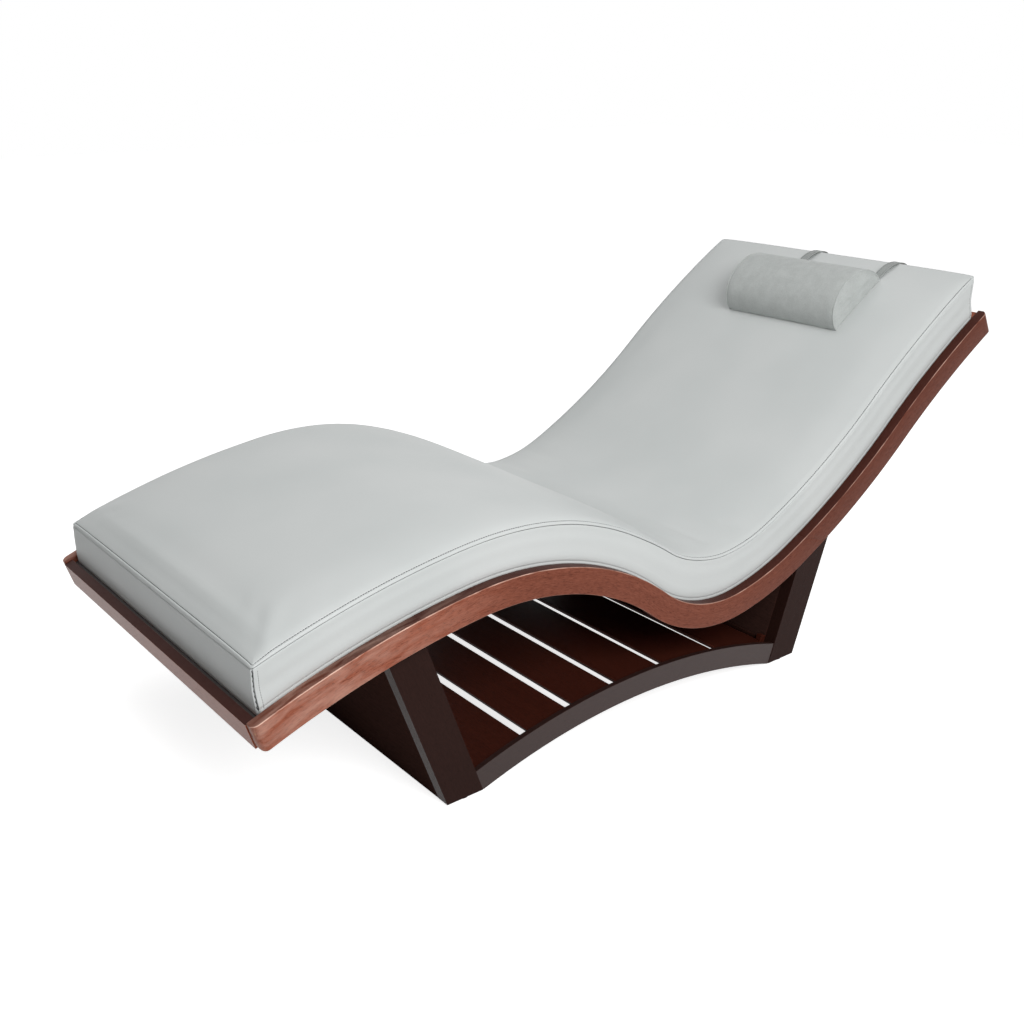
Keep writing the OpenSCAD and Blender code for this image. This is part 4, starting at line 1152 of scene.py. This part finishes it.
def strap_piece(name, path, y, node):
    """A stretch of strap: a folded suede band with rolled edges and a stitched line."""
    w, t = STRAP_W / 2, STRAP_T / 2
    outline = [(-w + 0.6, -t), (-w, -0.3), (-w + 0.1, 0.6), (-w + 0.8, 1.25), (-w + 1.8, 1.3),
               (-w + 2.8, 0.8), (-w + 3.3, 0.25), (-w + 3.9, 0.7), (-w + 5.5, 0.95), (0, 1),
               (w - 5.5, 0.95), (w - 3.9, 0.7), (w - 3.3, 0.25), (w - 2.8, 0.8), (w - 1.8, 1.3),
               (w - 0.8, 1.25), (w - 0.1, 0.6), (w, -0.3), (w - 0.6, -t), (0, -t)]
    sections, rows = [], {-1: ([], []), 1: ([], [])}
    for i, p in enumerate(path):
        before, after = path[max(i - 1, 0)], path[min(i + 1, len(path) - 1)]
        run = Vector((after[0] - before[0], 0, after[1] - before[1])).normalized()
        up = Vector((-run.z, 0, run.x))
        at = Vector((p[0], y, p[1]))
        sections.append([at + Vector((0, q, 0)) + up * h for q, h in outline])
        for side, (line, ups) in rows.items():
            line.append(at + Vector((0, side * (w - 3.3), 0)) + up * 0.45)
            ups.append(up)
    made = make_piece(name, *sweep([s[::-1] for s in sections]), STRAP_SUEDE, None, "strap_suede", node)
    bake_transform(made)
    shapes = [stitch_row(line, ups, *STRAP_STITCH) for line, ups in rows.values()]
    thread = make_piece(name + "_stitching", *joined(shapes), THREAD_AND_SHADOW, None, "strap_suede")
    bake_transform(thread)


def make_straps():
    """Both straps, each in a stretch that the pillow draws over the back and a stretch
    behind that the weight keeps taut."""
    path, over = strap_path()
    for name, y in zip(("strap_right", "strap_left"), STRAP_YS):
        strap_piece(name + "_front", path[:over + 1], y, name)
        strap_piece(name + "_rear", path[over:], y, name)


make_straps()


def make_sleeve():
    """The weight's suede sleeve: a tube of cloth round the bar, pinched into a sewn ridge
    above it where the straps come in, and gathered a little at both ends."""
    low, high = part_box("weight_sleeve")
    r = (high.x - low.x) / 2 / MM
    y0, y1 = low.y / MM, high.y / MM
    ridge = SLEEVE_TOP - BAR_RISE
    sections = []
    places = [0, 1.2, 3, 6, 10] + list(np.linspace(16, y1 - y0 - 16, 60))
    places += [y1 - y0 - d for d in (10, 6, 3, 1.2, 0)]
    for d in places:
        end = min(d, y1 - y0 - d)
        pinch = 1 - 0.35 * math.exp(-end / 2) if end < 12 else 1
        loop = []
        for k in range(36):
            a = 2 * math.pi * k / 36
            fold = 0.35 * math.sin(a * 5 + d / 9) * math.exp(-end / 30)
            out = (r - 0.4 + fold) * pinch
            x, z = out * math.sin(a), -out * math.cos(a)
            closeness = max(-math.cos(a), 0) ** 3
            # Toward the top the two sides come together in the ridge
            if math.cos(a) < -0.05:
                z = z + (ridge - r) * closeness * (1 if end > 4 else 0.6)
                x = x * (1 - 0.8 * closeness)
            loop.append((BAR_X + x, y0 + d, BAR_RISE + z))
        sections.append(loop)
    made = make_piece("weight_sleeve_suede", *sweep(sections), STRAP_SUEDE, "weight", "strap_suede",
                      "weight_sleeve")
    line = [(BAR_X - 3.4, y0 + 8 + k * (y1 - y0 - 16) / 80, BAR_RISE + r + 2.4) for k in range(81)]
    mirror = [(2 * BAR_X - x, y, z) for x, y, z in line]
    rows = [stitch_row(line, [(-1, 0, 0.5)] * 81, *STRAP_STITCH),
            stitch_row(mirror, [(1, 0, 0.5)] * 81, *STRAP_STITCH)]
    make_piece("weight_sleeve_stitching", *joined(rows), THREAD_AND_SHADOW, "weight", "strap_suede")


make_sleeve()


# Studio: a pale floor, soft lamps and the photograph's camera


def looked_at(tree):
    """1 for a ray from the camera, from a reflection or through glass, 0 for any other."""
    seen = add(tree, "ShaderNodeLightPath")
    watched = add(tree, "ShaderNodeMath", {0: seen.outputs["Is Camera Ray"],
                                           1: seen.outputs["Is Glossy Ray"]}, operation="MAXIMUM")
    return add(tree, "ShaderNodeMath", {0: watched.outputs[0], 1: seen.outputs["Is Transmission Ray"]},
               operation="MAXIMUM").outputs[0]


def make_sheet(name, corners, material):
    """A flat four-cornered sheet of the studio."""
    mesh = bpy.data.meshes.new(name)
    mesh.from_pydata([[c * MM for c in p] for p in corners], [], [(0, 1, 2, 3)])
    mesh.materials.append(material)
    return put(name, mesh)


def make_floor():
    """A pale floor that is white to the eye and keeps the shadow."""
    made, tree, shader = new_material("pale studio floor")
    plug(tree, shader, {"Base Color": linear("#e8e8e8"), "Roughness": 0.9, "Specular IOR Level": 0.1})
    glow = add(tree, "ShaderNodeEmission", {"Color": (1, 1, 1, 1), "Strength": 0.8})
    both = add(tree, "ShaderNodeAddShader", {0: shader.outputs[0], 1: glow.outputs[0]})
    mix = add(tree, "ShaderNodeMixShader", {0: looked_at(tree), 1: shader.outputs[0], 2: both.outputs[0]})
    tree.links.new(mix.outputs[0], tree.nodes["Material Output"].inputs["Surface"])
    h = FLOOR_SIZE / 2
    floor = make_sheet("floor", [(-h, -h, 0), (h, -h, 0), (h, h, 0), (-h, h, 0)], made)


def make_world(strength):
    """Even light from all round, and white where the camera or a reflection sees it."""
    world = bpy.data.worlds.new("studio")
    bpy.context.scene.world = world
    world.use_nodes = True
    tree = world.node_tree
    tree.nodes.clear()
    white = add(tree, "ShaderNodeBackground", {"Color": (1, 1, 1, 1), "Strength": 1})
    light = add(tree, "ShaderNodeBackground", {"Color": (1, 1, 1, 1), "Strength": strength})
    mix = add(tree, "ShaderNodeMixShader", {0: looked_at(tree), 1: light.outputs[0], 2: white.outputs[0]})
    out = add(tree, "ShaderNodeOutputWorld")
    tree.links.new(mix.outputs[0], out.inputs["Surface"])


def make_flag():
    """A black board at the foot side, out of sight, which keeps the foot end in shade."""
    made, tree, shader = new_material("black flag cloth")
    plug(tree, shader, {"Base Color": linear("#050505"), "Roughness": 1, "Specular IOR Level": 0})
    x, y, low, high = FLAG_X, FLAG_HALF, FLAG_LOW, FLAG_HIGH
    flag = make_sheet("flag", [(x, -y, low), (x, y, low), (x, y, high), (x, -y, high)], made)
    flag.visible_camera = False


def make_lamp(name, at, size, power):
    """A soft square lamp that faces the middle of the bed."""
    lamp = bpy.data.lights.new(name, "AREA")
    lamp.shape = "SQUARE"
    lamp.size = size * MM
    lamp.energy = power
    made = put(name, lamp)
    made.location = Vector(at) * MM
    aim = Vector((0, 0, 400)) * MM - made.location
    made.rotation_euler = aim.to_track_quat("-Z", "Y").to_euler()


def make_camera():
    """The photograph's camera."""
    yaw, pitch, roll = (math.radians(a) for a in (CAMERA_YAW, CAMERA_PITCH, CAMERA_ROLL))
    ahead = Vector((math.sin(yaw) * math.cos(pitch), math.cos(yaw) * math.cos(pitch), -math.sin(pitch)))
    right = Vector((math.cos(yaw), -math.sin(yaw), 0))
    down = ahead.cross(right)
    right, down = (math.cos(roll) * right + math.sin(roll) * down,
                   math.cos(roll) * down - math.sin(roll) * right)
    camera = put("camera", bpy.data.cameras.new("camera"))
    camera.data.sensor_width = SENSOR
    camera.data.lens = FOCAL_PX / FRAME_PX * SENSOR
    turned = Matrix((right, -down, -ahead)).transposed().to_4x4()
    turned.translation = Vector(CAMERA_AT) * MM
    camera.matrix_world = turned
    bpy.context.scene.camera = camera


make_floor()
make_flag()
make_world(0.28)
make_lamp("key", (-850, -3500, 2900), 2200, 124)
make_lamp("top", (-700, 700, 4200), 2600, 32)
make_camera()
bpy.context.scene.view_settings.view_transform = "Standard"
